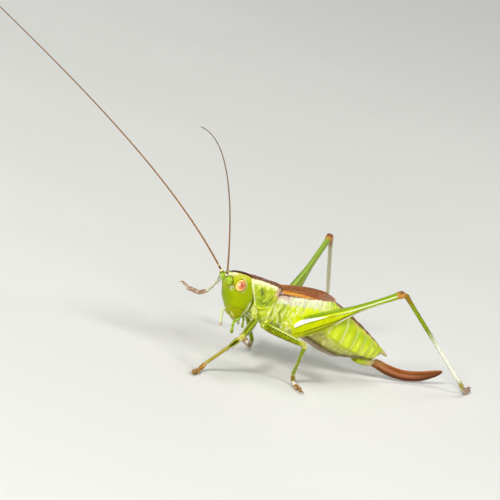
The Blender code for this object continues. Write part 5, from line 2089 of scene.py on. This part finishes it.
@dataclass
class Studio:
    """The floor, the soft lights and the camera."""

    azimuth: float = 56.1  # of the camera, from the front towards the insect's left
    elevation: float = 13.8
    roll: float = 16.5
    distance: float = 235.0
    aim: Place = (-2.01, -2.18, 8.74)
    view_width: float = 38.46  # at that distance
    floor_size: float = 2400.0
    floor_colour: str = "#d9d8d2"
    air_colour: str = "#e9edf2"
    air_strength: float = 0.26
    light_aim: float = 5.0  # height at which the lights look, over the insect's origin
    sensor: float = 36.0
    # (name, direction, distance, side, power); the glint lights only what shines
    lights: tuple[tuple[str, Place, float, float, float], ...] = (
        ("key", (0.5, -0.8, 0.62), 400.0, 70.0, 1.45), ("side", (0.714, 0.491, 0.6), 400.0, 110.0, 0.62),
        ("top", (-0.25, 0.2, 1.0), 520.0, 300.0, 1.05), ("glint", (0.5, -0.98, 0.3), 400.0, 90.0, 1.6),
    )

    def build(self) -> None:
        """Makes the floor, the light and the camera."""
        centre = ORIGIN * MM
        floor = started(bpy.ops.mesh.primitive_plane_add, size=self.floor_size * MM,
                        location=(centre.x, centre.y, 0))
        floor.name = "floor"
        floor.data.transform(floor.matrix_world)
        floor.matrix_world = Matrix.Identity(4)
        card = Finish("floor_card", self.floor_colour,
                      (Layer("#d3d2cc", "", 0.5, 60.0, (0.4, 0.6)),),
                      (Relief(CLOUD, 0.8, 0.01),), roughness=0.75, flesh=0.0, gloss="#ffffff")
        floor.data.materials.append(material(card))
        for name, way, distance, side, power in self.lights:
            direction = Vector(way).normalized()
            lamp = bpy.data.lights.new(name, "AREA")
            lamp.shape, lamp.size, lamp.energy = "SQUARE", side * MM, power
            obj = bpy.data.objects.new(name, lamp)
            bpy.context.scene.collection.objects.link(obj)
            obj.location = centre + (Vector((0, 0, self.light_aim)) + direction * distance) * MM
            obj.rotation_euler = direction.to_track_quat("Z", "Y").to_euler()
            obj.visible_diffuse = name != "glint"
        world = bpy.data.worlds.new("pale_air")
        world.use_nodes = True
        air = world.node_tree.nodes["Background"]
        air.inputs["Color"].default_value = linear(self.air_colour)
        air.inputs["Strength"].default_value = self.air_strength
        bpy.context.scene.world = world
        bpy.context.scene.view_settings.view_transform = "Standard"
        self.camera()

    def camera(self) -> None:
        """Sets the camera at its angle, turned with the insect."""
        a, e, roll = (radians(turn) for turn in (self.azimuth, self.elevation, self.roll))
        back = Vector((sin(a) * cos(e), -cos(a) * cos(e), sin(e)))
        level = Vector((cos(a), sin(a), 0))
        right = level * cos(roll) + back.cross(level) * sin(roll)
        up = back.cross(right)
        lens = bpy.data.cameras.new("camera")
        lens.sensor_width = self.sensor
        lens.lens = lens.sensor_width * self.distance / self.view_width
        lens.clip_start, lens.clip_end = 0.005, 10.0
        obj = bpy.data.objects.new("camera", lens)
        bpy.context.scene.collection.objects.link(obj)
        place = (ORIGIN + Vector(self.aim) + back * self.distance) * MM
        axes = Matrix((right, up, back)).transposed().to_4x4()
        obj.matrix_world = Matrix.Translation(place) @ axes
        bpy.context.scene.camera = obj


def save_sizes() -> None:
    """Brings the placements of the scene's objects up to date."""
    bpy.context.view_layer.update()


def main() -> None:
    """Builds the model and its studio."""
    logging.basicConfig(level=logging.INFO, format="%(message)s")
    Studio().build()
    Trunk().build()
    Head().build()
    for feeler in FEELERS:
        feeler.build()
    Palps().build()
    Shield().build()
    for side in SIDES:
        Tegmen(side).build()
    Tail().build()
    for leg in LEGS:
        leg.build()
    save_sizes()


if __name__ == "__main__":
    main()
